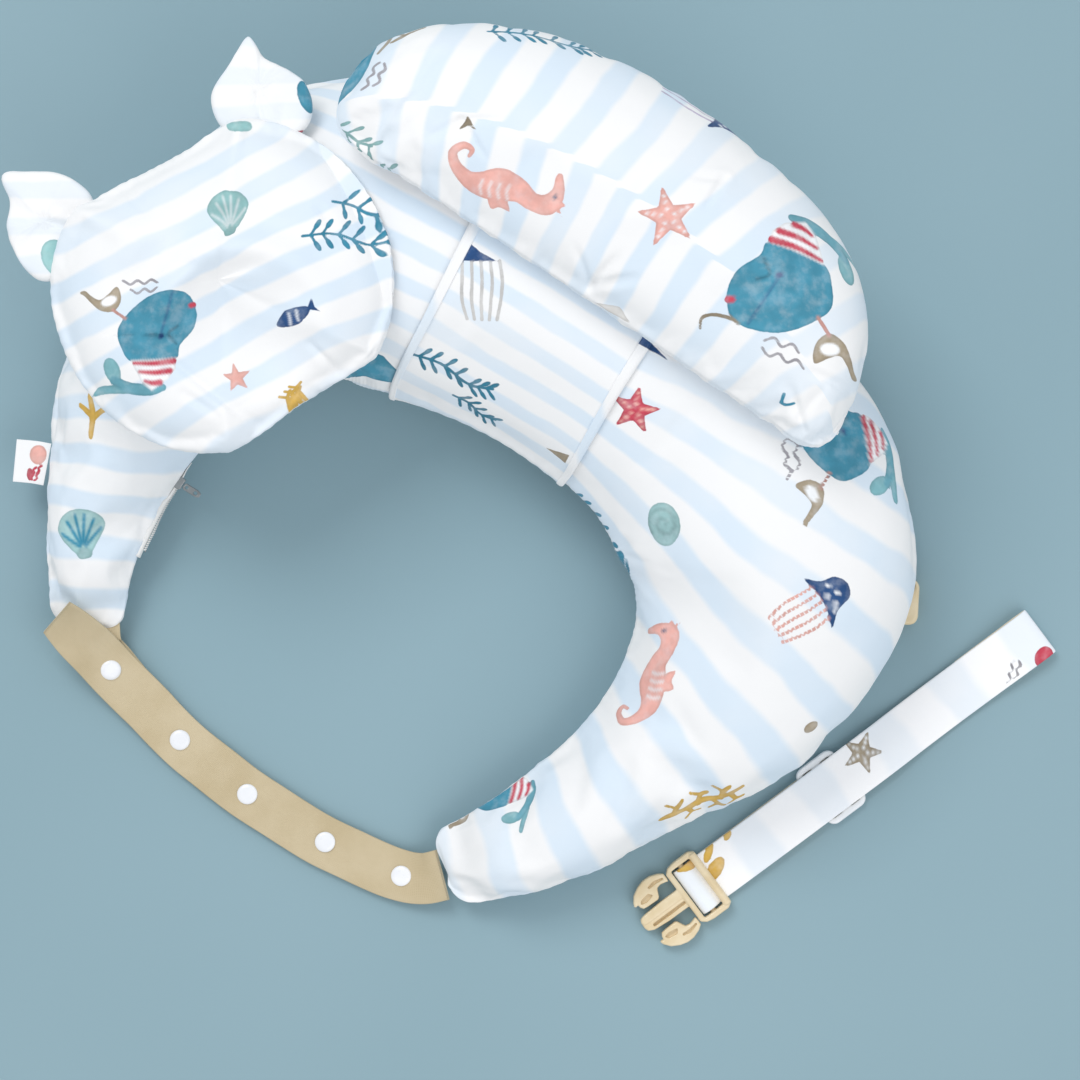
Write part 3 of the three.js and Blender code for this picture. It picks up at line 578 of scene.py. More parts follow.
def star(ink, spots=None):
    reaches = (15, 6.2) * 5
    shapes = [area([(r * x, r * y) for r, (x, y) in zip(reaches, around_clock(10))], ink, False)]
    for x, y in around_clock(5):
        shapes.append(pen([(0, 0, 1.6), (12 * x, 12 * y, 1.3)], ink))
        if spots is not None:
            shapes += [pen([(r * x, r * y, 0.5), (r * x + 0.3, r * y, 0.5)], spots) for r in (3.5, 7, 10)]
    return shapes


def shell(ink, ridge=None):
    ridge = ink * 0.45 + WHITE * 0.5 if ridge is None else ridge
    shapes = [
        area([(-13, 3), (-9, 10), (0, 13), (9, 10), (13, 3), (8, -6), (3, -11), (-3, -11), (-8, -6)], ink)
    ]
    for a in (-58, -35, -12, 12, 35, 58):
        x, y = math.sin(math.radians(a)), math.cos(math.radians(a))
        shapes.append(pen([(2 * x, -9 + 4 * y, 0.35), (20 * x * 0.62, -10 + 20 * y, 0.75)], ridge))
    shapes.append(area([(-4, -10), (0, -8), (4, -10), (3, -13), (-3, -13)], ink * 0.8))
    return shapes


def sprig(ink, length=44, leaves=7, bend=6):
    stem = [(-length / 2, -6, 0.5), (-length / 6, -2 + bend * 0.3, 0.55), (length / 4, 2 - bend * 0.2, 0.5),
            (length / 2, 8, 0.4)]
    shapes = [pen(stem, ink)]
    path = smooth_line(stem, False, 8)
    for i in range(leaves):
        at = path[int((i + 0.7) / leaves * (len(path) - 1))]
        for way in (1, -1):
            turn = math.radians(18 + way * (58 - 2 * i))
            reach = 7.5 - 0.25 * i
            x, y = at[0] + reach * math.cos(turn), at[1] + reach * math.sin(turn)
            shapes.append(oval(x, y, 3.6, 1.5, turn, ink))
            shapes.append(pen([(at[0], at[1], 0.35), (x, y, 0.35)], ink, False))
    return shapes


def fish(ink):
    return [
        area([(-13, 0), (-6, 5), (4, 5), (11, 1), (4, -4.5), (-6, -4)], ink),
        area([(9, 1), (16, 6), (14, 0), (15.5, -4)], ink, False),
        pen([(-5, -3, 0.5), (-2, 3, 0.5)], ink * 0.3 + WHITE * 0.7),
        pen([(1, -3, 0.5), (3, 3, 0.5)], ink * 0.3 + WHITE * 0.7),
    ]


def coral(ink, reach=24):
    shapes = [pen([(-reach, -3, 2.0), (-reach / 3, 1, 2.1), (reach / 3, 2, 1.8), (reach, 6, 1.1)], ink)]
    for i, (x, way) in enumerate(((-0.7, 1), (-0.35, -1), (-0.1, 1), (0.25, -1), (0.45, 1), (0.7, -1))):
        rx, ry = x * reach, 0.5 + 2.5 * x
        tip = (rx + 7, ry + way * (9 - i % 3 * 1.6), 1.0)
        shapes.append(pen([(rx, ry, 1.7), (rx + 2.5, ry + way * 5, 1.5), tip], ink))
        shapes.append(pen([(rx + 2.5, ry + way * 5, 1.2), (rx - 2.5, ry + way * 9, 0.9)], ink))
    return shapes


def seahorse(ink):
    dark = ink * 0.35 + WHITE * 0.62
    shapes = [
        pen([(-8, 27, 1.7), (0, 27.5, 3.4), (6, 24, 5.2), (6, 16, 4.6), (2, 8, 6.0), (1, -1, 8.2),
             (3, -10, 6.8), (2, -18, 4.6), (-4, -25, 3.0), (-11, -27, 2.2), (-15, -22, 1.8), (-13, -18, 1.3),
             (-10, -19, 1.0)], ink),
        area([(8, 28), (11, 32), (7, 30), (5, 33), (3, 29)], ink, False),
        area([(8, 2), (14, 5), (13, -1), (15, -5), (8, -7)], ink),
    ]
    for i in range(4):
        y = 3 - 4.6 * i
        shapes.append(pen([(0.5, y, 0.5), (4, y - 0.8, 0.7), (8, y, 0.5)], dark))
    shapes.append(pen([(1.5, 26.5, 0.9), (2.4, 26.7, 0.9)], NAVY * 0.7 + SAND * 0.3))
    return shapes


def jellyfish(strands, cap=None):
    shapes = []
    for x in -9.5 + 4.7 * np.arange(5):
        strand = [(x, 1, 0.6), (x * 1.08 + 0.6, -9, 0.6), (x * 1.05, -19, 0.6), (0.82 * x, -29, 0.5)]
        shapes.append(pen(strand, strands))
    if cap is not None:
        outline = [(-16, -2), (-10, 5), (-8, 13), (-1, 18), (6, 16), (9, 6), (16, -2), (6, 0.5), (-6, 0.5)]
        shapes.append(area(outline, cap))
        shapes += [pen([(x, y, 0.6), (x + 0.8, y + 1, 0.5)], WHITE)
                   for x, y in ((-6, 7), (0, 10), (5, 6), (-1, 4), (8, 4))]
    return shapes


def spiral(ink):
    i = np.arange(26)
    turns = np.column_stack([np.cos(0.4 * i), np.sin(0.4 * i)]) * (1.5 + 0.352 * i)[:, None]
    return [oval(0, 0, 10.5, 12.5, 0, ink), pen([(x, y, 0.9) for x, y in turns], ink * 0.8, False)]


def patch(ink, rx=12, ry=9):
    return [oval(0, 0, rx, ry, 0, ink)]


def coral_twig(ink):
    branches = (
        [(-6, -15, 1.6), (-3, -3, 2.0), (-5, 9, 1.6)], [(-12, 4, 1.3), (-8, 1, 1.6), (-3, -4, 1.6)],
        [(-3, -4, 1.8), (6, 1, 1.6), (19, -6, 1.0)], [(6, 1, 1.4), (9, 7, 1.0)],
    )
    return [pen(branch, ink) for branch in branches]


def flat_shape(points, ink):
    return [area(points, ink, False)]


def paint(obj, stripe, motifs, spin=0.0, thinnest=0.8):
    """Stores the print on the cloth: stripes as a phase, and motifs (shapes, x, y, turn, scale) as inks."""
    drawn = read_attribute(obj, "print", 3)[:, :2]
    spots = places_of(obj)
    plan = plan_of(spots)
    attribute(obj, "stripe", stripe(drawn))
    ink = np.tile(WHITE, (len(drawn), 1))
    depth = np.full(len(drawn), -6.0)
    upper = np.nonzero(normals_of(obj)[:, 2] > 0.1)[0]
    has_under = obj.data.attributes.get("under")
    on_top = read_attribute(obj, "under") < 0.6 if has_under else np.full(len(plan), True)
    for shapes, x, y, turn, scale in motifs:
        away = np.linalg.norm(plan[upper] - [x, y], axis=1)
        beside = np.nonzero(away < away.min() + 1.5)[0]
        near = upper[beside[np.argmax(spots[upper[beside], 2])]]
        centre = drawn[near] + [x, y] - plan[near]
        c, s = math.cos(math.radians(turn + spin)), math.sin(math.radians(turn + spin))
        local = (drawn - centre) @ np.array([[c, -s], [s, c]]) / scale
        close = np.nonzero((np.hypot(*local.T) < 62) & on_top)[0]
        for kind, points, tone in shapes:
            if kind == "area":
                d = area_depth(points, local[close]) * scale
            else:
                line = np.array(points, float)
                line[:, 2] = np.maximum(line[:, 2], thinnest / scale)
                d = line_depth(line, local[close]) * scale
            nearer = (d > 0) | ((d > depth[close]) & (d > -4))
            share = np.where(depth[close] > 0, np.clip(d / 1.2 + 0.5, 0, 1), nearer)[:, None]
            ink[close] = ink[close] * (1 - share) + tone * share
            depth[close] = np.maximum(depth[close], d)
    attribute(obj, "ink", np.column_stack([ink, np.ones(len(ink))]), "FLOAT_COLOR")
    attribute(obj, "ink_edge", depth)


# ------------------------------------------------------------------ materials
class Nodes:
    """A material, with short ways to add nodes to it."""

    def __init__(self, name):
        self.material = bpy.data.materials.new(name)
        self.material.use_nodes = True
        self.tree = self.material.node_tree
        self.shader = self.tree.nodes["Principled BSDF"]
        self.coordinates = self.add("ShaderNodeTexCoord").outputs["Object"]

    def add(self, kind, inputs=(), **settings):
        """A node. Inputs are pairs of a socket's name or number and a value or another node's output."""
        node = self.tree.nodes.new(kind)
        for key, value in settings.items():
            setattr(node, key, value)
        for key, value in inputs:
            if hasattr(value, "links"):
                self.tree.links.new(value, node.inputs[key])
            else:
                node.inputs[key].default_value = (*value, 1) if np.ndim(value) else value
        return node

    def set(self, name, output):
        self.tree.links.new(output, self.shader.inputs[name])

    def math(self, operation, a, b=0.0, c=0.0):
        return self.add("ShaderNodeMath", enumerate((a, b, c)), operation=operation).outputs[0]

    def spread(self, value, low, high, to_low=0.0, to_high=1.0):
        sockets = (("Value", value), ("From Min", low), ("From Max", high), ("To Min", to_low),
                   ("To Max", to_high))
        return self.add("ShaderNodeMapRange", sockets, interpolation_type="SMOOTHSTEP").outputs["Result"]

    def noise(self, scale, detail=3.0):
        sockets = (("Scale", scale), ("Detail", detail), ("Roughness", 0.55), ("Vector", self.coordinates))
        return self.add("ShaderNodeTexNoise", sockets).outputs["Fac"]

    def stored(self, name, out="Fac"):
        return self.add("ShaderNodeAttribute", attribute_name=name).outputs[out]

    def mix(self, share, a, b, blend="MIX"):
        sockets = ((0, share), (6, a), (7, b))
        return self.add("ShaderNodeMix", sockets, data_type="RGBA", blend_type=blend).outputs[2]

    def grey(self, value):
        return self.add("ShaderNodeCombineColor", enumerate((value, value, value))).outputs[0]

    def weave(self, period_mm):
        """Crossing threads; the stored print places are millimetres."""
        sockets = (("Scale", math.pi / (10 * period_mm)), ("Distortion", 0.6), ("Detail", 1.0),
                   ("Vector", self.stored("print", "Vector")))
        waves = [self.add("ShaderNodeTexWave", sockets, wave_type="BANDS", bands_direction=way).outputs["Fac"]
                 for way in ("X", "Y")]
        return self.math("MAXIMUM", *waves)

    def bump(self, heights):
        """heights: (height output, depth in mm, strength)."""
        last = ()
        for height, depth, strength in heights:
            sockets = (("Strength", strength), ("Distance", depth * MM), ("Height", height), *last)
            last = (("Normal", self.add("ShaderNodeBump", sockets).outputs["Normal"]),)
        self.set(*last[0])

    def finish(self, roughness, sheen=0.0, coat=0.0, specular=0.5, metallic=0.0):
        for name, value in (("Roughness", roughness), ("Sheen Weight", sheen), ("Sheen Roughness", 0.4),
                            ("Coat Weight", coat), ("Specular IOR Level", specular), ("Metallic", metallic)):
            self.shader.inputs[name].default_value = value
        return self.material


CLOTH_WHITE = colour("F4F4F4")
STRIPE_BLUE = colour("D8E7F4")


def printed_cloth(name, stripe_share=0.92, weave=0.55, white=CLOTH_WHITE):
    """Cotton with washed stripes and inked motifs, both read from stored values, over a fine weave."""
    n = Nodes(name)
    wobble = n.math("MULTIPLY_ADD", n.noise(16, 2.5), 0.42, -0.21)
    phase = n.math("ADD", n.stored("stripe"), wobble)
    wave = n.math("SINE", n.math("MULTIPLY", phase, 2 * math.pi))
    wash = n.spread(n.noise(9, 3), 0.32, 0.62, 0.55, 1.0)
    band = n.math("MULTIPLY", n.spread(wave, -0.25, 0.5), wash)
    ground = n.mix(n.math("MULTIPLY", band, stripe_share), white, STRIPE_BLUE)
    edge = n.math("ADD", n.stored("ink_edge"), n.math("MULTIPLY_ADD", n.noise(260, 2), 0.7, -0.35))
    mask = n.math("MULTIPLY", n.spread(edge, -0.3, 0.35), n.spread(n.noise(120, 3), 0.25, 0.6, 0.82, 1.0))
    rim = n.spread(edge, 0.2, 1.8, 0.84, 1.0)
    mottle = n.math("MULTIPLY", rim, n.spread(n.noise(85, 4), 0.3, 0.7, 0.88, 1.1))
    tone = n.mix(1.0, n.stored("ink", "Color"), n.grey(mottle), "MULTIPLY")
    front = n.mix(mask, ground, tone)
    n.set("Base Color", n.mix(n.stored("back"), front, colour("E9DCC4")))
    n.bump([(n.noise(38, 3), 1.2, 0.35), (n.noise(170, 3), 0.35, 0.3), (n.weave(weave), 0.06, 0.3)])
    return n.finish(0.86, sheen=0.25, specular=0.25)


def plain_cloth(name, code, dark, weave):
    n = Nodes(name)
    threads = n.weave(weave)
    tone = n.mix(n.spread(n.noise(24, 4), 0.3, 0.7), colour(dark), colour(code))
    tone = n.mix(n.math("MULTIPLY", threads, 0.35), tone, colour(code) * 1.06)
    n.set("Base Color", tone)
    n.bump([(n.noise(60, 3), 0.6, 0.35), (threads, 0.18, 0.7)])
    return n.finish(0.9, sheen=0.15, specular=0.2)


def plastic(name, code, dark, rough=0.34, coat=0.15, metallic=0.0):
    """Smooth moulded plastic or metal, with slight unevenness in its colour, gloss and surface."""
    n = Nodes(name)
    n.set("Base Color", n.mix(n.spread(n.noise(60, 3), 0.35, 0.7), colour(dark), colour(code)))
    n.bump([(n.noise(900, 2), 0.03, 0.25), (n.noise(70, 2), 0.25, 0.12)])
    n.set("Roughness", n.spread(n.noise(140, 3), 0.3, 0.7, rough - 0.06, rough + 0.08))
    return n.finish(rough, coat=coat, metallic=metallic)


def dress(obj, material):
    obj.data.materials.clear()
    obj.data.materials.append(material)


PRINT = printed_cloth("printed cotton")
FAINT_PRINT = printed_cloth("printed cotton, faint", 0.5)
WEBBING_PRINT = printed_cloth("printed webbing", 0.42, 0.8, colour("FEFEFF"))
CANVAS = plain_cloth("tan canvas", "CFC0A1", "BFAE8B", 1.0)
WHITE_TAPE = plain_cloth("white tape", "F2F2F0", "E6E6E4", 0.8)
SNAP_WHITE = plastic("snap white", "F7F8FB", "EEF0F4", 0.3, 0.3)
GLIDE_WHITE = plastic("glide white", "F3F5F8", "E9EDF1", 0.34, 0.2)
BEIGE = plastic("beige plastic", "EBDAB8", "E0CBA3", 0.36, 0.2)
ZIP_GREY = plastic("zip metal", "A6ABAD", "8F9496", 0.32, 0.0, 0.9)

# ------------------------------------------------------------------ main cushion
main_form = Sweep(MAIN_LINE, 9, 46, 4, 14)
main = main_form.piece("main_cushion", 5.7, 64, -2.0)
bolster_form = Sweep(BOLSTER_LINE, 13, 40, 6, 0, across=(0, -1), seam=0)
bolster = bolster_form.piece("bolster", 4.4, 64, -2.0)
head = pad_piece("head_pillow", HEAD, head_reach, HEAD_SEAM, HEAD_RISE - 2, HEAD_DROP - 2, 144, 56)
ear_left, ear_top = (
    pad_piece(name, np.mean(ear, axis=0), outline_reach(ear), HEAD_SEAM, EAR_RISE, EAR_RISE, 64, 14)
    for name, ear in (("ear_left", LEFT_EAR), ("ear_top", TOP_EAR))
)

BOLSTER_FRAME = (
    Matrix.Translation(BOLSTER_ORIGIN)
    @ Matrix.Rotation(BOLSTER_TURN, 4, "Z")
    @ Matrix.Translation((0, BOLSTER_TILT_LINE, 0))
    @ Matrix.Rotation(-BOLSTER_TILT, 4, "X")
    @ Matrix.Translation((0, -BOLSTER_TILT_LINE, 0))
)
to_metres(bolster, BOLSTER_FRAME)
for soft in (main, head, ear_left, ear_top):
    to_metres(soft)
inflate([(main, 3.0, 6), (bolster, 3.0, 5), (head, 3.0, 5), (ear_left, 2.0, 3), (ear_top, 2.0, 3)])

# The domes' poles are smoothed before the finer grid is made.
calm(head, np.array(HEAD), 85, 40)
calm(ear_left, np.mean(LEFT_EAR, axis=0), 26, 14)
calm(ear_top, np.mean(TOP_EAR, axis=0), 26, 14)
subdivide(main, 1)
# The right arm is fuller than its centre line gives: (plan place, outward way, breadth, gain).
BULGES = (((112, -140), (0.6, -0.8), 80, 8), ((-28, -195), (0.1, -1), 45, 6))
fuller = places_of(main)
for centre, way, breadth, gain in BULGES:
    away = plan_of(fuller) - centre
    outward = np.clip((away @ way + 60) / 60, 0, 1) ** 2
    beside = np.exp(-((away @ (way[1], -way[0]) / breadth) ** 2))
    fuller[:, :2] += np.outer(gain * MM * outward * beside, way)
set_places(main, fuller)
rest_on_floor(main, "sleeve_elastic")
main_surface = surface_of(main)
subdivide(main, 1)
for soft, levels in ((bolster, 2), (head, 2), (ear_left, 1), (ear_top, 1)):
    subdivide(soft, levels)


def main_stripes(p):
    right = np.arctan2(p[:, 1] - 216, p[:, 0] + 180) * 372 / 35
    behind = (p[:, 0] * 0.47 + p[:, 1] * 0.88) / 21
    left = (p[:, 1] + 0.13 * (p[:, 0] + 290) - 26) / 28.4 + 0.25
    on_right = (p[:, 0] > 8) | ((p[:, 0] > -118) & (p[:, 1] < 40))
    return np.where(on_right, right, np.where((p[:, 0] < -118) & (p[:, 1] < 128), left, behind))


def bolster_stripes(p):
    tuck = 38 - 0.00118 * (p[:, 0] - 165) ** 2
    slant = np.where(p[:, 1] > tuck, 0.12 - 0.0014 * p[:, 0], 0.52 - 0.0026 * p[:, 0])
    return (p[:, 0] + (p[:, 1] - tuck) * slant) / 28 + 0.5 / (1 + np.exp((p[:, 1] - tuck) / 0.5))


def head_stripes(p):
    turn = math.radians(28)
    return (-p[:, 0] * math.sin(turn) + p[:, 1] * math.cos(turn)) / 25


HEM_SCRAP = (flat_shape([(-9, 2), (-3, 7), (13, -10)], NAVY), 61, 114, 0, 1.0)
crumple(main, 0.5, 26, 2)
sew(main)
rest_on_floor(main, "sleeve_elastic")
paint(main, main_stripes, [
    (coral_twig(GOLD), -264, 77, 0, 1.0),
    (shell(MINT * 0.8 + WHITE * 0.1, LEAF), -277, 4, 4, 1.15),
    (star(RED, PINK), 55, 75.6, -14, 1.05),
    (spiral(MINT * 0.75 + GREY * 0.2), 72.5, 9.5, 0, 1.0),
    (jellyfish(PINK, NAVY), 164, -36, -58, 1.05),
    (seahorse(PINK), 66, -82, -8, 1.05),
    (coral(GOLD * 0.92, 25), 98, -158, 24, 1.05),
    (whale(), -34, -148, 87, 0.78),
    (whale(), 171, 60, 98, 1.12),
    (patch(SAND, 5, 3), 161, -111, 20, 1.0),
    (sprig(LEAF, 46, 7, 10), 30, 8, -58, 0.9),
    (flat_shape([(-18, -8), (-10, 8), (1, 17), (9, 13), (15, 3), (17, -12), (0, -7)], TEAL),
     -102, 100, 0, 1.0),
    HEM_SCRAP,
], thinnest=1.0)

# ------------------------------------------------------------------ bolster
keep_above(bolster, main_surface, 4.2 * MM, 5 * MM)
crumple(bolster, 0.45, 30, 9)
sew(bolster)
fold(bolster, [
    (-44, 236, -30, 214, 3.0, 1.6), (-44, 236, -20, 236, 3.0, 1.4), (-44, 236, -62, 226, 3.0, 1.2),
    (28, 144, 44, 160, 3.4, 1.8), (28, 144, 56, 148, 3.4, 1.5), (28, 144, 20, 166, 3.4, 1.5),
    (104, 204, 92, 186, 3.2, 1.3), (104, 204, 84, 204, 3.2, 1.2),
    (176, 84, 150, 96, 4.0, 1.8), (150, 62, 140, 88, 4.0, 1.8), (-96, 214, -84, 232, 4.0, 1.5),
])
paint(bolster, bolster_stripes, [
    (seahorse(PINK), -20, 200, -102, 1.12),
    (star(PINK * 0.97 + RED * 0.03, WHITE), 72.5, 180, 10, 1.2),
    (whale(), 135, 140, 166, 1.27),
    (sprig(LEAF, 66, 9, 8), 3, 286, -14, 1.0),
    (patch(TEAL, 24, 7), -108, 266, 54, 1.0),
    (sprig(MINT * 0.8, 30, 4, 5), -108, 230, -60, 0.9),
    (sprig(MINT * 0.7, 20, 3, 5), -94, 206, -40, 0.9),
    (flat_shape([(-5, -3), (0, 5), (5, -4), (0, -0.5)], SAND * 0.75), -41, 233, 0, 1.0),
    ([pen([(-11, -4, 0.8), (-10, 2, 1), (-4, 4, 1), (8, 1, 1), (10, -1, 0.8)], SAND * 0.8)],
     102, 122, 0, 1.0),
    ([pen([(-4, -3, 0.8), (-2, 3, 1), (-3, -3, 1), (4, -2, 0.8)], LEAF)], 141, 79, 0, 1.0),
    (jellyfish(MAUVE, NAVY), 99, 246, -115, 1.15),
    ([pen([(-16, -8, 0.7), (-9, 0, 1.1), (-6, 5, 1.1), (0, 2, 0.9), (-8, -2, 0.9), (12, 8, 0.9)], SAND)],
     -77, 286, 0, 1.0),
    (squiggle(GREY, 0.7), -94, 262, 60, 1.0),
    # This pale tan triangle is painted shadow, where the bolster meets the sleeve's edge.
    (flat_shape([(-10, 4), (6, 3), (12, -7), (-2, -1)], SAND * 0.4 + WHITE * 0.6), 40, 130, 0, 1.0),
], math.degrees(-BOLSTER_TURN))

# ------------------------------------------------------------------ sleeve
def cut_stops(cut, turn):
    """The length along the cushion at which a section angle meets a cut line."""
    x, y, angle = cut
    normal = np.array([math.sin(math.radians(angle)), -math.cos(math.radians(angle))])
    stops = np.linspace(0, main_form.track.length, 1200)
    middle, side, half, rise, seam = main_form.rings(stops)
    ridge = stops[np.argmin(np.linalg.norm(middle - [x, y], axis=1))]
    near = np.abs(stops - ridge) < 150
    out = []
    for t in turn:
        past = (middle + side * half[:, None] * math.cos(t) - [x, y]) @ normal
        rising = np.maximum.accumulate(past[near])
        out.append(np.interp(0, rising, stops[near]))
    return np.array(out)


def sleeve_piece(name, ends, profile, thick, across, around=132):
    """Cloth round the cushion. ends takes the two cuts' stops, and gives where the cloth starts and stops."""
    turn = np.radians(np.linspace(SLEEVE_FROM, SLEEVE_TO, around))
    start, stop = ends(*(cut_stops(cut, turn) for cut in SLEEVE_CUTS))
    ease = np.clip(np.minimum(turn - turn[0], turn[-1] - turn) / math.radians(16), 0, 1)
    low = thick - 0.2
    spots, drawn = [], []
    for f in np.linspace(0, 1, across):
        clear = low + (profile(f) - low) * ease
        middle, side, half, rise, seam = main_form.rings(start + (stop - start) * f)
        aim = np.column_stack([middle + side * (half * np.cos(turn))[:, None], seam + rise * np.sin(turn)])
        core = np.column_stack([middle, seam])
        ray = (aim - core) / np.linalg.norm(aim - core, axis=1)[:, None]
        row = []
        for c, r, a, up in zip(core, ray, aim, clear):
            hit = main_surface.ray_cast(Vector(place(c)), Vector(r))[0]
            row.append((np.array(hit) / MM - SHIFT if hit is not None else a) + r * up)
        row = np.array(row)
        arc = np.concatenate([[0], np.cumsum(np.linalg.norm(np.diff(row, axis=0), axis=1))])
        arc -= np.interp(math.pi / 2, turn, arc)
        spots.append(row)
        drawn.append(middle - side * arc[:, None])
    obj = make_mesh(name, place(np.concatenate(spots)), grid_faces(across, around, False))
    attribute_plan(obj, "print", np.concatenate(drawn))
    if max(obj.data.polygons, key=lambda face: face.center.z).normal.z < 0:
        obj.data.flip_normals()
    solid = obj.modifiers.new("thick", "SOLIDIFY")
    solid.thickness, solid.offset = thick * MM, -1
    settle(obj)
    subdivide(obj, 1)
    return obj


def sleeve_stripes(p):
    turn = math.radians(32)
    return (p[:, 0] * math.sin(turn) + p[:, 1] * math.cos(turn)) / 21


TUCK = HEM - 1.6
band = sleeve_piece("sleeve_band", lambda left, right: (left + TUCK, right - TUCK), lambda f: 2.0, 1.0, 70,
                    200)
hem_left = sleeve_piece("sleeve_hem_left", lambda left, right: (left, left + HEM),
                        lambda f: 1.3 + 1.6 * min(1, 3 * f) ** 0.5, 1.4, 13)
hem_right = sleeve_piece("sleeve_hem_right", lambda left, right: (right - HEM, right),
                         lambda f: 1.3 + 1.6 * min(1, 3 - 3 * f) ** 0.5, 1.4, 13)
gathers = read_attribute(band, "print", 3)
spots = places_of(band)
plan = spots / MM - SHIFT
inner = np.clip((62 - plan[:, 2]) / 30, 0, 1)
ripple = 2 * math.pi * (gathers[:, 0] * 0.85 - gathers[:, 1] * 0.53) / 8.5 + 2.5 * noise_at(spots, 25, 1)
set_places(band, spots + normals_of(band) * (0.8 * MM * np.sin(ripple) * inner)[:, None])
paint(band, sleeve_stripes, [
    (sprig(LEAF * 0.8, 50, 7, 10), -52, 98, -38, 0.95),
    (sprig(LEAF * 0.8, 30, 5, 8), -40, 78, -60, 0.8),
    (jellyfish(SAND * 0.3 + WHITE * 0.62), -34, 160, 0, 1.15),
    (flat_shape([(-11, 0), (-5, 11), (2, 5), (11, 0)], NAVY), -36, 161, 0, 1.0),
    (flat_shape([(-7, 4), (8, 2.5), (3, -5)], SAND * 0.85), 10.5, 49.5, 0, 1.0),
], thinnest=1.0)
for hem, motifs in ((hem_left, []), (hem_right, [HEM_SCRAP])):
    paint(hem, lambda p: 0.02 * p[:, 0] + 0.75, motifs)

# ------------------------------------------------------------------ head pillow
DIMPLE, CHANNEL_TURN = (-169, 117), math.radians(-50)
spots = places_of(head)
upper = np.clip((spots[:, 2] / MM - HEAD_SEAM) / 22, 0, 1)
away = plan_of(spots) - DIMPLE
reach = np.hypot(*away.T)
bearing = np.degrees(np.arctan2(away[:, 1], away[:, 0]))
channel_way = np.array([math.cos(CHANNEL_TURN), math.sin(CHANNEL_TURN)])
run = np.clip(away @ channel_way, 0, 60)
beside = np.linalg.norm(away - run[:, None] * channel_way, axis=1)
rim_share = np.exp(-(((bearing - 115) / 75) ** 2))
sink = 15 * np.exp(-((reach / 38) ** 3)) + 7 * np.exp(-((beside / 24) ** 2)) * (1 - run / 90)
rim = 6 * rim_share * np.exp(-(((reach - 49) / 9) ** 2)) - 4 * rim_share * np.exp(-(((reach - 68) / 9) ** 2))
spots[:, 2] += (rim - sink) * upper * MM
set_places(head, spots)
crumple(head, 0.5, 30, 6)
sew(head)
fold(head, [
    (-212, 104, -163, 66, 4.5, 2.2), (-132, 113, -116, 96, 4.0, 1.6), (-214, 148, -196, 160, 5.0, 1.6),
    (-204, 84, -186, 72, 4.0, 1.3), (-126, 190, -112, 168, 4.5, 1.0), (-240, 205, -222, 184, 5.0, 1.0),
], 5)
keep_above(head, main_surface, 2.2 * MM, 5 * MM)
paint(head, head_stripes, [
    (shell(MINT * 0.85), -177, 186, 10, 1.0),
    (sprig(LEAF, 50, 7, 8), -110, 173, -16, 1.0),
    (sprig(LEAF, 34, 4, 6), -103, 190, -38, 0.9),
    (whale(), -219, 123, 3, 1.0),
    (fish(NAVY), -141, 128, 28, 0.95),
    (star(PINK), -175, 93.5, 12, 0.6),
    (coral(GOLD, 9), -142, 81, 30, 0.75),
    (patch(MINT, 8, 2.6), -173, 238, 0, 1.0),
])
for ear, seed, folds, motifs in (
    (ear_left, 3, [(-268, 178, -292, 188, 3.5, 1.8), (-270, 186, -286, 200, 3.0, 1.4)],
     [(patch(MINT, 9, 12), -279, 163, 40, 1.0)]),
    (ear_top, 8, [(-160, 238, -166, 262, 3.5, 1.8), (-150, 240, -150, 258, 3.0, 1.4)],
     [(patch(TEAL, 5, 10), -135, 257, 18, 1.0), (patch(RED, 4, 1.5), -139, 236, 0, 1.0)]),
):
    crumple(ear, 0.9, 45, seed)
    sew(ear, 0.9, 1.6, 5)
    fold(ear, folds, 2)
    paint(ear, lambda p: p[:, 1] / 22, motifs)


# ------------------------------------------------------------------ flat straps
def ribbon(name, line, width, thick, steps, side=None, matrix=Matrix(), wave=0.0, seed=0.0, roll=None):
    """A flat strip along a line, with rounded edges. Its print places are (along, across)."""
    track = Track(line)
    s = np.linspace(0, track.length, steps)
    at = track.at(s)
    way = track.at(s + 0.5) - track.at(s - 0.5)
    way /= np.linalg.norm(way, axis=1)[:, None]
    if side is None:
        sides = np.column_stack([-way[:, 1], way[:, 0], 0 * s])
        sides /= np.linalg.norm(sides, axis=1)[:, None]
    else:
        sides = np.tile(np.array(side, float), (steps, 1))
    if roll is not None:
        turn = np.radians(roll(s))[:, None]
        sides = np.cos(turn) * sides + np.sin(turn) * np.array([0, 0, 1])
    ups = np.cross(way, sides)
    wander = np.array([noise.noise(Vector((0.03 * v + seed, seed, 0))) for v in s]) * wave
    half, r, across = width / 2, thick / 2, 9
    ys = np.linspace(-half + 0.4, half - 0.4, across)
    section = [(y, r) for y in ys] + [(half, 0.35 * r), (half, -0.35 * r)]
    section += [(y, -r) for y in ys[::-1]] + [(-half, -0.35 * r), (-half, 0.35 * r)]
    section = np.array(section)
    spots = (at + sides * wander[:, None])[:, None, :] + sides[:, None, :] * section[None, :, :1]
    spots = (spots + ups[:, None, :] * section[None, :, 1:]).reshape(-1, 3)
    n = len(section)
    faces = grid_faces(steps, n, True)
    pairs = [(n - 1, n - 2), *((i, 2 * across + 1 - i) for i in range(across + 1))]
    for base, flip in ((0, 1), ((steps - 1) * n, -1)):
        for (a, b), (c, d) in zip(pairs[:-1], pairs[1:]):
            faces.append([base + a, base + c, base + d, base + b][::flip])
    obj = make_mesh(name, place(turned(spots, matrix)), faces)
    along, over = np.repeat(s, n), np.tile(section[:, 0], steps)
    attribute_plan(obj, "print", np.column_stack([along, over]))
    attribute(obj, "back", np.tile(section[:, 1] < 0, steps))
    subdivide(obj, 1)
    return obj


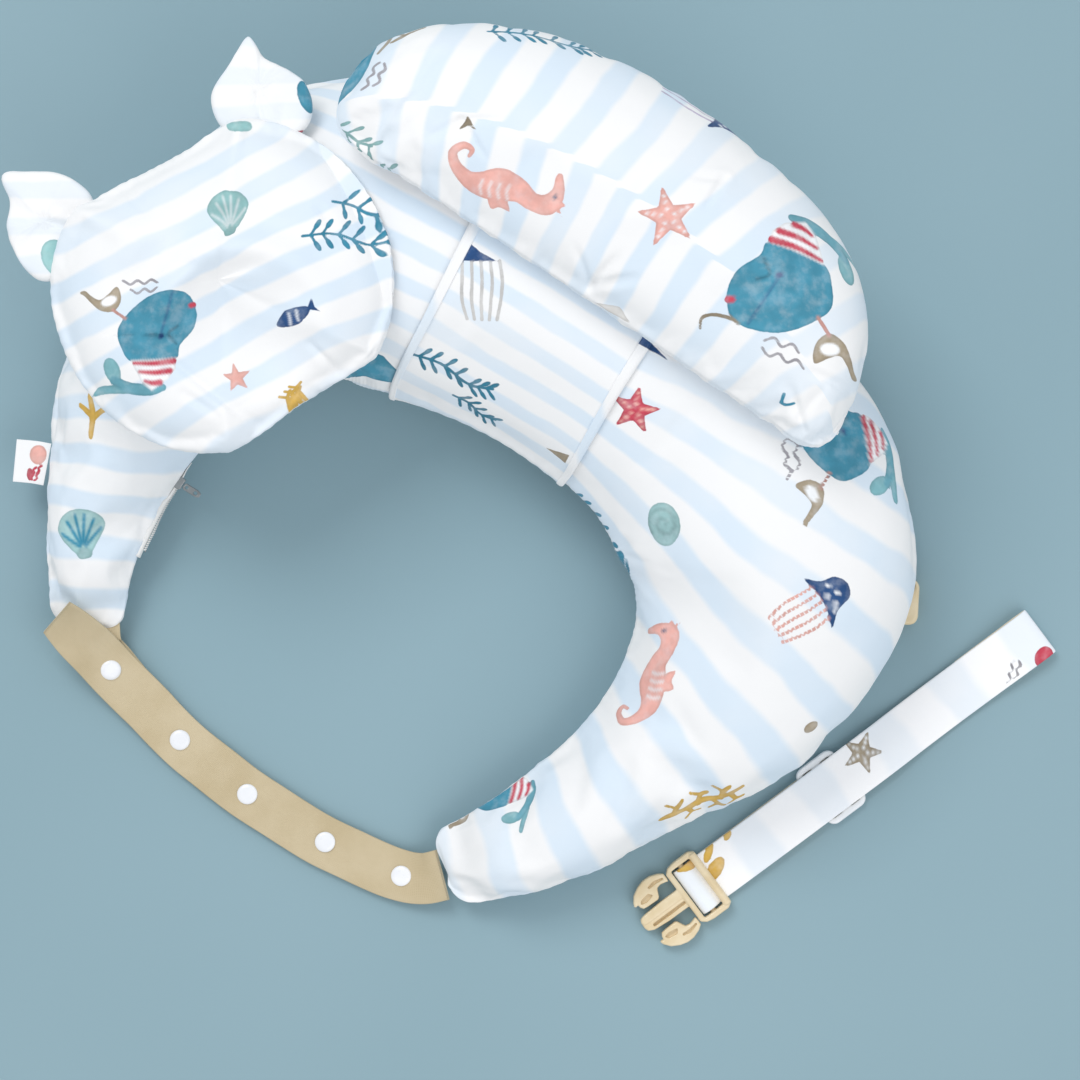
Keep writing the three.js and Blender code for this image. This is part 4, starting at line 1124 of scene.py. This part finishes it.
def line_frame(track, share):
    s = share * track.length
    at = track.at(np.array([s]))[0]
    way = Vector(track.at(np.array([s + 0.5]))[0] - track.at(np.array([s - 0.5]))[0]).normalized()
    side = Vector((-way.y, way.x, 0)).normalized()
    up = way.cross(side)
    return Matrix(((way.x, side.x, up.x, at[0]), (way.y, side.y, up.y, at[1]), (way.z, side.z, up.z, at[2]),
                   (0, 0, 0, 1)))


def lathe(name, profile, matrix, around=40):
    """A turned piece from (radius, height) pairs."""
    profile = smooth_line(profile, False, 5)
    a = 2 * math.pi * np.arange(around) / around
    rows = [(r * np.cos(a), r * np.sin(a), np.full(around, h)) for r, h in profile]
    spots = np.concatenate([np.stack(row, -1) for row in rows])
    faces = grid_faces(len(profile), around, True)
    faces += [list(range(around))[::-1], [len(spots) - around + i for i in range(around)]]
    return make_mesh(name, place(turned(spots, matrix)), faces)


strap_track = Track(STRAP_LINE)
strap = ribbon("waist_strap", STRAP_LINE, 32, 2.0, 110, wave=1.0, seed=2.0,
               roll=lambda s: 34 * np.clip(1 - s / 34, 0, 1) ** 1.3)
crumple(strap, 0.25, 30, 4)
tab_line = [(-274, -50, 15)]
for share, aside, drop in ((0.12, 2.6, -5.4), (0.166, 1.2, -5.6), (0.216, 0.2, -4.6), (0.27, 0, -3.6)):
    tab_line.append(tuple(line_frame(strap_track, share) @ Vector((0, aside, drop))))
tab = ribbon("waist_tab", tab_line, 31, 1.6, 50, wave=0.6, seed=5.0)
CAP_PROFILE = [(1.7, -2.4), (1.7, 0.6), (6.2, 1.0), (6.35, 1.4), (6.0, 2.1), (4.6, 2.75), (2.6, 3.0),
               (0.6, 3.05)]
SOCKET_PROFILE = [(2.1, -1.0), (5.3, -1.0), (5.4, -2.4), (5.0, -3.9), (3.6, -4.1), (2.2, -3.9), (2.0, -2.0)]
snaps = []
for number, share in enumerate(SNAP_SHARES, 1):
    for kind, profile in (("cap", CAP_PROFILE), ("socket", SOCKET_PROFILE)):
        node = f"snap_{kind}_{number}"
        snap = lathe(node + "_look", profile, line_frame(strap_track, share))
        snaps.append((snap, "strap", "snap_white", SNAP_WHITE, node))

# ------------------------------------------------------------------ belt
BELT = Matrix.Translation((*BELT_ORIGIN, 0)) @ Matrix.Rotation(BELT_TURN, 4, "Z")
BELT_PATH = [
    (GLIDE_PLACE + 8, 1), (60, 1), (22, 1), (8, 1), (1.6, 1.2), (-0.9, 3.9), (2, 6.9), (6, 7.3), (9, 6.2),
    (12, 3.7), (18, 3.5), (26, 4.2), (GLIDE_PLACE - 42, 6.2), (GLIDE_PLACE - 16, 6.6), (GLIDE_PLACE, 6.7),
    (GLIDE_PLACE + 17, 6.6), (GLIDE_PLACE + 38, 6.3), (GLIDE_PLACE + 64, 3.4), (GLIDE_PLACE + 88, 2.6),
    (BELT_REACH - 45, 4), (BELT_REACH - 18, 6.8), (BELT_REACH - 5, 7), (BELT_REACH, 4.2),
    (BELT_REACH - 5, 1.3), (BELT_REACH - 20, 1), (BELT_REACH - 54, 1),
]
belt = ribbon("belt_webbing", [(x, 0, z) for x, z in BELT_PATH], WEBBING_WIDTH, WEBBING_THICK, 260,
              (0, 1, 0), BELT)


def add_spline(data, spots, closed=False):
    spline = data.splines.new("POLY")
    spline.points.add(len(spots) - 1)
    for point, spot in zip(spline.points, spots):
        point.co = (*spot, 1)
    spline.use_cyclic_u = closed


def plate(outline, holes, low, high, bevel):
    """A moulded plate with rounded edges, in millimetres."""
    data = bpy.data.curves.new("plate", "CURVE")
    data.dimensions, data.fill_mode = "2D", "BOTH"
    data.extrude = (high - low) / 2 - bevel
    data.bevel_depth, data.bevel_resolution, data.offset = bevel, 2, -bevel
    for ring in (outline, *holes):
        add_spline(data, [(x, y, 0) for x, y in ring], True)
    obj = link_object("plate", data)
    obj.location.z = (low + high) / 2
    return obj


def box_ring(x0, x1, y0, y1, corner, count=6):
    ring = []
    for cx, cy, start in ((x1 - corner, y0 + corner, -90), (x1 - corner, y1 - corner, 0),
                          (x0 + corner, y1 - corner, 90), (x0 + corner, y0 + corner, 180)):
        for i in range(count + 1):
            a = math.radians(start + 90 * i / count)
            ring.append((cx + corner * math.cos(a), cy + corner * math.sin(a)))
    return ring


def bar(start, end, radius, squash=1.0, around=20):
    """A rounded bar between two points."""
    run = Vector(end) - Vector(start)
    a = 2 * math.pi * np.arange(around) / around
    rows = [(share * radius * math.cos(t), share * radius * squash * math.sin(t), at * run.length)
            for at, share in ((0, 0.5), (0, 1), (1, 1), (1, 0.5)) for t in a]
    faces = grid_faces(4, around, True) + [list(range(around))[::-1], list(range(3 * around, 4 * around))]
    data = bpy.data.meshes.new("bar")
    data.from_pydata(rows, [], faces)
    obj = link_object("bar", data)
    obj.matrix_world = Matrix.Translation(start) @ run.to_track_quat("Z", "Y").to_matrix().to_4x4()
    return obj


def merged(objects, name):
    """One mesh of several objects, which it uses up."""
    graph = bpy.context.evaluated_depsgraph_get()
    spots, faces = [], []
    for o in objects:
        mesh = bpy.data.meshes.new_from_object(o.evaluated_get(graph))
        base = len(spots)
        spots += [tuple(o.matrix_world @ v.co) for v in mesh.vertices]
        faces += [[base + i for i in p.vertices] for p in mesh.polygons]
    for o in objects:
        bpy.data.objects.remove(o)
    return make_mesh(name, spots, faces)


def mould(name, parts, cuts=(), size=0.4, smooth=4, matrix=Matrix()):
    """Fuses parts into one moulded body and takes the cuts out."""
    bpy.context.view_layer.update()
    obj = merged(parts, name)
    remesh(obj, size)
    if cuts:
        cutter = merged(cuts, name + "_cut")
        remesh(cutter, size)
        step = obj.modifiers.new("cut", "BOOLEAN")
        step.operation, step.object, step.solver = "DIFFERENCE", cutter, "FAST"
        settle(obj)
        bpy.data.objects.remove(cutter)
        remesh(obj, size)
    soften = obj.modifiers.new("soften", "SMOOTH")
    soften.iterations, soften.factor = smooth, 0.5
    settle(obj)
    to_metres(obj, matrix)
    return obj


g = GLIDE_PLACE
GLIDE_SLOTS = [box_ring(g + x0, g + x0 + 7.5, -16.1, 16.1, 1.5) for x0 in (-10.5, 3)]
glide_plate = plate(box_ring(g - 14.5, g + 14.5, -20.6, 20.6, 6), GLIDE_SLOTS, 2.3, 5.6, 1.2)
glide = mould("tri_glide_look", [glide_plate], size=0.45, matrix=BELT)

FRAME_RING = [(-4.8, -15), (-4.6, -18.5), (-2, -20.6), (3, -21.5), (14, -21.5), (17.2, -19.5), (17.6, -16)]
FRAME_RING = FRAME_RING + [(x, -y) for x, y in FRAME_RING[::-1]]
buckle_parts = [
    plate(FRAME_RING, [box_ring(-2, 12.8, -17.6, 17.6, 1.2)], 1.6, 8.4, 1.2),
    bar((15.0, -19, 7.0), (15.0, 19, 7.0), 2.6),
    bar((-3.4, -18, 6.6), (-3.4, 18, 6.6), 1.9),
    bar((5.3, -18.5, 4.3), (5.3, 18.5, 4.3), 1.9, 0.8),
    plate([(-3, 6.6), (-3, -6.4), (-20, -6.2), (-31, -5.2), (-34.6, -3.4), (-35.4, -1), (-35.4, 3),
           (-34.4, 5), (-31, 6), (-16, 6.6)], [], 2.7, 6.7, 0.9),
    plate([(-3, 6.6), (-3, 0.4), (-33, 0.4), (-35.0, 1.4), (-35.0, 3.6), (-33.6, 5.4), (-31, 6), (-16, 6.6)],
          [], 3.2, 7.6, 0.9),
]
buckle = mould("buckle_male_look", buckle_parts,
               [plate(box_ring(-30, -5.5, -3.6, -1.6, 0.8), [], 4.0, 12, 0.2)], size=0.38, matrix=BELT)
PRONG_RING = [
    (-6.3, 13.8), (-5.9, 15.4), (-5.9, 19.4), (-9, 21.6), (-14, 23.4), (-19, 23.6), (-24, 22.2), (-29, 19.4),
    (-32, 15.6), (-32.8, 13.4), (-31.4, 12.6), (-30.2, 13.6), (-30.0, 11.2), (-28.6, 9.2), (-25, 8.8),
    (-18, 8.6), (-16.6, 9.6), (-15.4, 12.2), (-14.2, 14.6), (-11.4, 15.2), (-8, 14.4),
]
PRONG_POCKET = [(-19, 12.6), (-21, 15.4), (-27, 14.4), (-28.5, 12.2), (-25, 11.4)]
PRONG_SLIT = [(-7.5, 16.6), (-8, 18), (-14, 19.6), (-19, 18.6), (-18.6, 17.2), (-13, 17.4)]
prongs = []
for side, way in (("left", 1), ("right", -1)):
    ring, pocket, slit = ([(x, way * y) for x, y in ring] for ring in (PRONG_RING, PRONG_POCKET, PRONG_SLIT))
    arm = plate(ring, [], 2.0, 7.6, 1.1)
    cuts = [plate(pocket, [], 5.2, 12, 0.2), plate(slit, [], 5.6, 12, 0.2)]
    prongs.append(mould(f"buckle_prong_{side}_look", [arm], cuts, 0.36, matrix=BELT))

# ------------------------------------------------------------------ anchor strap and its socket half
ANCHOR = Matrix.Translation((*ANCHOR_HINGE[:2], 0)) @ Matrix.Rotation(math.radians(-93), 4, "Z")
root_hit = main_surface.ray_cast(Vector(place((188, 60, 1))), UP, 0.08)[0]
root_height = root_hit.z / MM
anchor_line = [
    (188, 60, root_height + 1), (197, 48, 0.55 * root_height + 3), (204, 36, 11), (209.5, 24, 6.5),
    (213, 11, 4.2), (215.2, -2, 3.4), *(tuple(ANCHOR @ Vector(v)) for v in ((37, 0, 5.5), (49, 0, 5.8))),
]
anchor = ribbon("anchor_strap", anchor_line, WEBBING_WIDTH, WEBBING_THICK, 70,
                roll=lambda s: 42 * np.clip(1 - s / 42, 0, 1))
attribute(anchor, "back", 0 * read_attribute(anchor, "back"))
socket = mould("buckle_female_look", [
    plate(box_ring(49, 78, -19.5, 19.5, 6), [box_ring(51.6, 55.2, -16, 16, 1)], 0.4, 11.8, 2.4),
    plate(box_ring(57, 77, -12, 12, 6), [], 6, 12.3, 1.2),
], [
    plate(box_ring(58, 85, -16.5, 16.5, 2), [], 2.6, 9.4, 0.3),
    plate(box_ring(60, 69, -30, 30, 2), [], 3, 9, 0.3),
], size=0.55, matrix=ANCHOR)
for strip, motifs in (
    (belt, [
        (star(SAND, WHITE), 200, -131, 20, 0.95), (patch(GOLD, 3.6, 2.2), 116, -181.5, 25, 1.0),
        (patch(GOLD, 7, 2.6), 103.5, -192.5, 38, 1.0), (patch(GOLD, 9, 4.4), 107, -203.5, 22, 1.0),
        (patch(GOLD, 10, 5.5), 89, -199.5, -38, 1.0),
        (patch(RED, 7, 6), 311, -73, 30, 1.0), (squiggle(GREY * 0.8, 0.6), 292, -80, 40, 1.0),
    ]),
    (anchor, [(patch(TEAL, 14, 13), 228, -14, 0, 1.1)]),
):
    paint(strip, lambda p: p[:, 0] / 53, motifs)

# ------------------------------------------------------------------ label and zip
label = ribbon("side_label", [(-300.5, 46, 29.2), (-308, 47.4, 29.6), (-320.5, 48.6, 27.8)], 26, 0.7, 14)
paint(label, lambda p: 0 * p[:, 0] + 0.75, [
    (patch(PINK, 5, 6), -309, 52, 0, 1.0), (patch(RED * 0.8, 2, 4), -313, 43, 10, 1.0),
    (squiggle(RED, 0.5), -308, 41, 80, 0.8),
])
attribute(label, "back", 0 * read_attribute(label, "back"))
zip_way = np.array([math.cos(ZIP_TURN), math.sin(ZIP_TURN), 0])
zip_side = np.array([-math.sin(ZIP_TURN), math.cos(ZIP_TURN), 0])
tape_rows, coil_line = [], []
for s in np.linspace(-14, 52, 40):
    row = []
    for z in np.linspace(-3.6, 3.6, 7):
        start = np.array(ZIP_ORIGIN) + zip_way * s - zip_side * 12 + [0, 0, z - 1.5 - 0.06 * max(s, 0)]
        start = start + zip_side * 40
        hit = main_surface.ray_cast(Vector(place(start)), Vector(-zip_side), 0.06)[0]
        spot = np.array(hit) / MM - SHIFT if hit is not None else start - zip_side * 28
        row.append(spot + zip_side * (0.9 if abs(z) < 3.5 else 0.2))
    tape_rows.append(row)
    coil_line.append(row[3] + zip_side * 0.9)
zip_tape = make_mesh("zip_tape_look", place(np.array(tape_rows).reshape(-1, 3)), grid_faces(40, 7, False))
attribute(zip_tape, "print", places_of(zip_tape) / MM, "FLOAT_VECTOR")
solid = zip_tape.modifiers.new("thick", "SOLIDIFY")
solid.thickness = 0.5 * MM
settle(zip_tape)
coil_track = Track(np.array(coil_line)[::4])
turns = np.linspace(0, 1, 66 * 10)
coil_spots = coil_track.at(turns * coil_track.length)
twist = 2 * math.pi * 44 * turns
coil_spots = coil_spots + np.outer(np.cos(twist), zip_side) * 0.55 + np.outer(np.sin(twist), [0, 0, 1.3])
coil_data = bpy.data.curves.new("zip_coil_look", "CURVE")
coil_data.dimensions, coil_data.bevel_depth, coil_data.bevel_resolution = "3D", 0.38 * MM, 1
add_spline(coil_data, place(coil_spots))
zip_coil = link_object("zip_coil_look", coil_data)
zip_draw = float(np.dot(coil_line[8] - np.array(ZIP_ORIGIN), zip_side)) - 5.2
ZIP = Matrix.Translation(ZIP_ORIGIN) @ Matrix.Rotation(ZIP_TURN, 4, "Z")
ZIP = ZIP @ Matrix.Translation((0, zip_draw, 0))
zip_slider = mould("zip_slider_look", [
    plate(box_ring(-4, 4, 3.2, 7.6, 1.6), [], -2.1, -1.1, 0.3),
    plate(box_ring(-4, 4, 3.2, 7.6, 1.6), [], 1.1, 2.1, 0.3),
    bar((0, 6.6, -1.8), (0, 6.6, 1.8), 1.0),
], size=0.22, smooth=2, matrix=ZIP)
zip_pull = mould("zip_pull_look", [
    plate([(-1.4, 8.2), (-2.2, 9.4), (-2.2, 18), (-1.2, 20), (1.2, 20), (2.2, 18), (2.2, 9.4), (1.4, 8.2)],
          [box_ring(-0.9, 0.9, 9.4, 11.4, 0.8, 3), box_ring(-1, 1, 15.4, 18, 0.9, 3)], -0.7, 0.7, 0.3),
], size=0.2, smooth=2, matrix=ZIP)

# ------------------------------------------------------------------ stage, camera, light
floor = make_mesh("floor", [(-3, -3, 0), (3, -3, 0), (3, 3, 0), (-3, 3, 0)], [(0, 1, 2, 3)])
FLOOR = Nodes("floor")
wash = FLOOR.spread(FLOOR.noise(2, 2), 0.2, 0.8)
FLOOR.set("Base Color", FLOOR.mix(wash, colour("89A6B0"), colour("91ADB7")))
dress(floor, FLOOR.finish(0.9))

CAMERA_HEIGHT = 1.8
SEEN_WIDTH = 0.6696
SENSOR = 36
camera_data = bpy.data.cameras.new("camera")
camera_data.sensor_width = SENSOR
camera_data.lens = SENSOR * CAMERA_HEIGHT / SEEN_WIDTH
SCENE.camera = link_object("camera", camera_data)
SCENE.camera.location = (SHIFT[0] * MM, SHIFT[1] * MM, CAMERA_HEIGHT)


for name, spot, size, power in (("key", (-1.15, 1.8, 2.55), 1.5, 42), ("fill", (1.4, -1.6, 2.2), 2.6, 26)):
    light = bpy.data.lights.new(name, "AREA")
    light.size, light.energy = size, power
    lamp = link_object(name, light)
    lamp.location = spot
    lamp.rotation_euler = (-Vector(spot)).to_track_quat("-Z", "Y").to_euler()
world = bpy.data.worlds.new("studio")
world.use_nodes = True
background = world.node_tree.nodes["Background"].inputs
background["Color"].default_value, background["Strength"].default_value = (0.95, 0.97, 1.0, 1), 0.68
SCENE.world = world
SCENE.view_settings.view_transform = "Standard"

# ------------------------------------------------------------------ what each piece is
for piece, body, slot, material, *nodes in (
    (main, "pillow", "printed_cotton", PRINT, "main_cushion_filling", "main_cover_top",
     "main_cover_bottom_left", "main_cover_bottom_back", "main_cover_bottom_right"),
    (bolster, "bolster", "printed_cotton", PRINT, "bolster_filling", "bolster_cover_top",
     "bolster_cover_bottom"),
    (head, "head", "printed_cotton", PRINT, "head_pillow_filling", "head_cover_front", "head_cover_back"),
    (ear_left, "ear_left", "printed_cotton", FAINT_PRINT, "ear_left_cover", "ear_left_filling"),
    (ear_top, "ear_top", "printed_cotton", FAINT_PRINT, "ear_top_cover", "ear_top_filling"),
    (band, "pillow", "printed_cotton", PRINT, "sleeve_band"),
    (hem_left, "pillow", "printed_cotton", PRINT, "sleeve_hem_left"),
    (hem_right, "pillow", "printed_cotton", PRINT, "sleeve_hem_right"),
    (strap, "strap", "tan_canvas", CANVAS, "waist_strap"),
    (tab, "pillow", "tan_canvas", CANVAS, "waist_tab"),
    (belt, "belt", "printed_webbing", WEBBING_PRINT, "belt_webbing"),
    (glide, "glide", "white_plastic", GLIDE_WHITE, "tri_glide"),
    (buckle, "belt", "beige_plastic", BEIGE, "buckle_male_body"),
    (prongs[0], "prong_left", "beige_plastic", BEIGE, "buckle_prong_left"),
    (prongs[1], "prong_right", "beige_plastic", BEIGE, "buckle_prong_right"),
    (socket, "anchor", "beige_plastic", BEIGE, "buckle_female"),
    (label, "pillow", "white_satin", PRINT, "side_label"),
    (zip_tape, "pillow", "white_tape", WHITE_TAPE, "zip_tape"),
    (zip_coil, "pillow", "white_coil", WHITE_TAPE, "zip_coil"),
    (zip_slider, "zip_slider", "grey_metal", ZIP_GREY, "zip_slider"),
    (zip_pull, "zip_pull", "grey_metal", ZIP_GREY, "zip_pull"),
    *snaps,
    (anchor, None, "printed_webbing", WEBBING_PRINT, "anchor_strap"),
):
    dress(piece, material)
    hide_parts(*nodes)
    if body:
        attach(piece, body)
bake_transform(anchor)
for node, material in (("sleeve_elastic", WHITE_TAPE), ("tab_stud", SNAP_WHITE), ("tab_rivet", SNAP_WHITE)):
    dress(frame["nodes"][node], material)

bpy.context.view_layer.update()
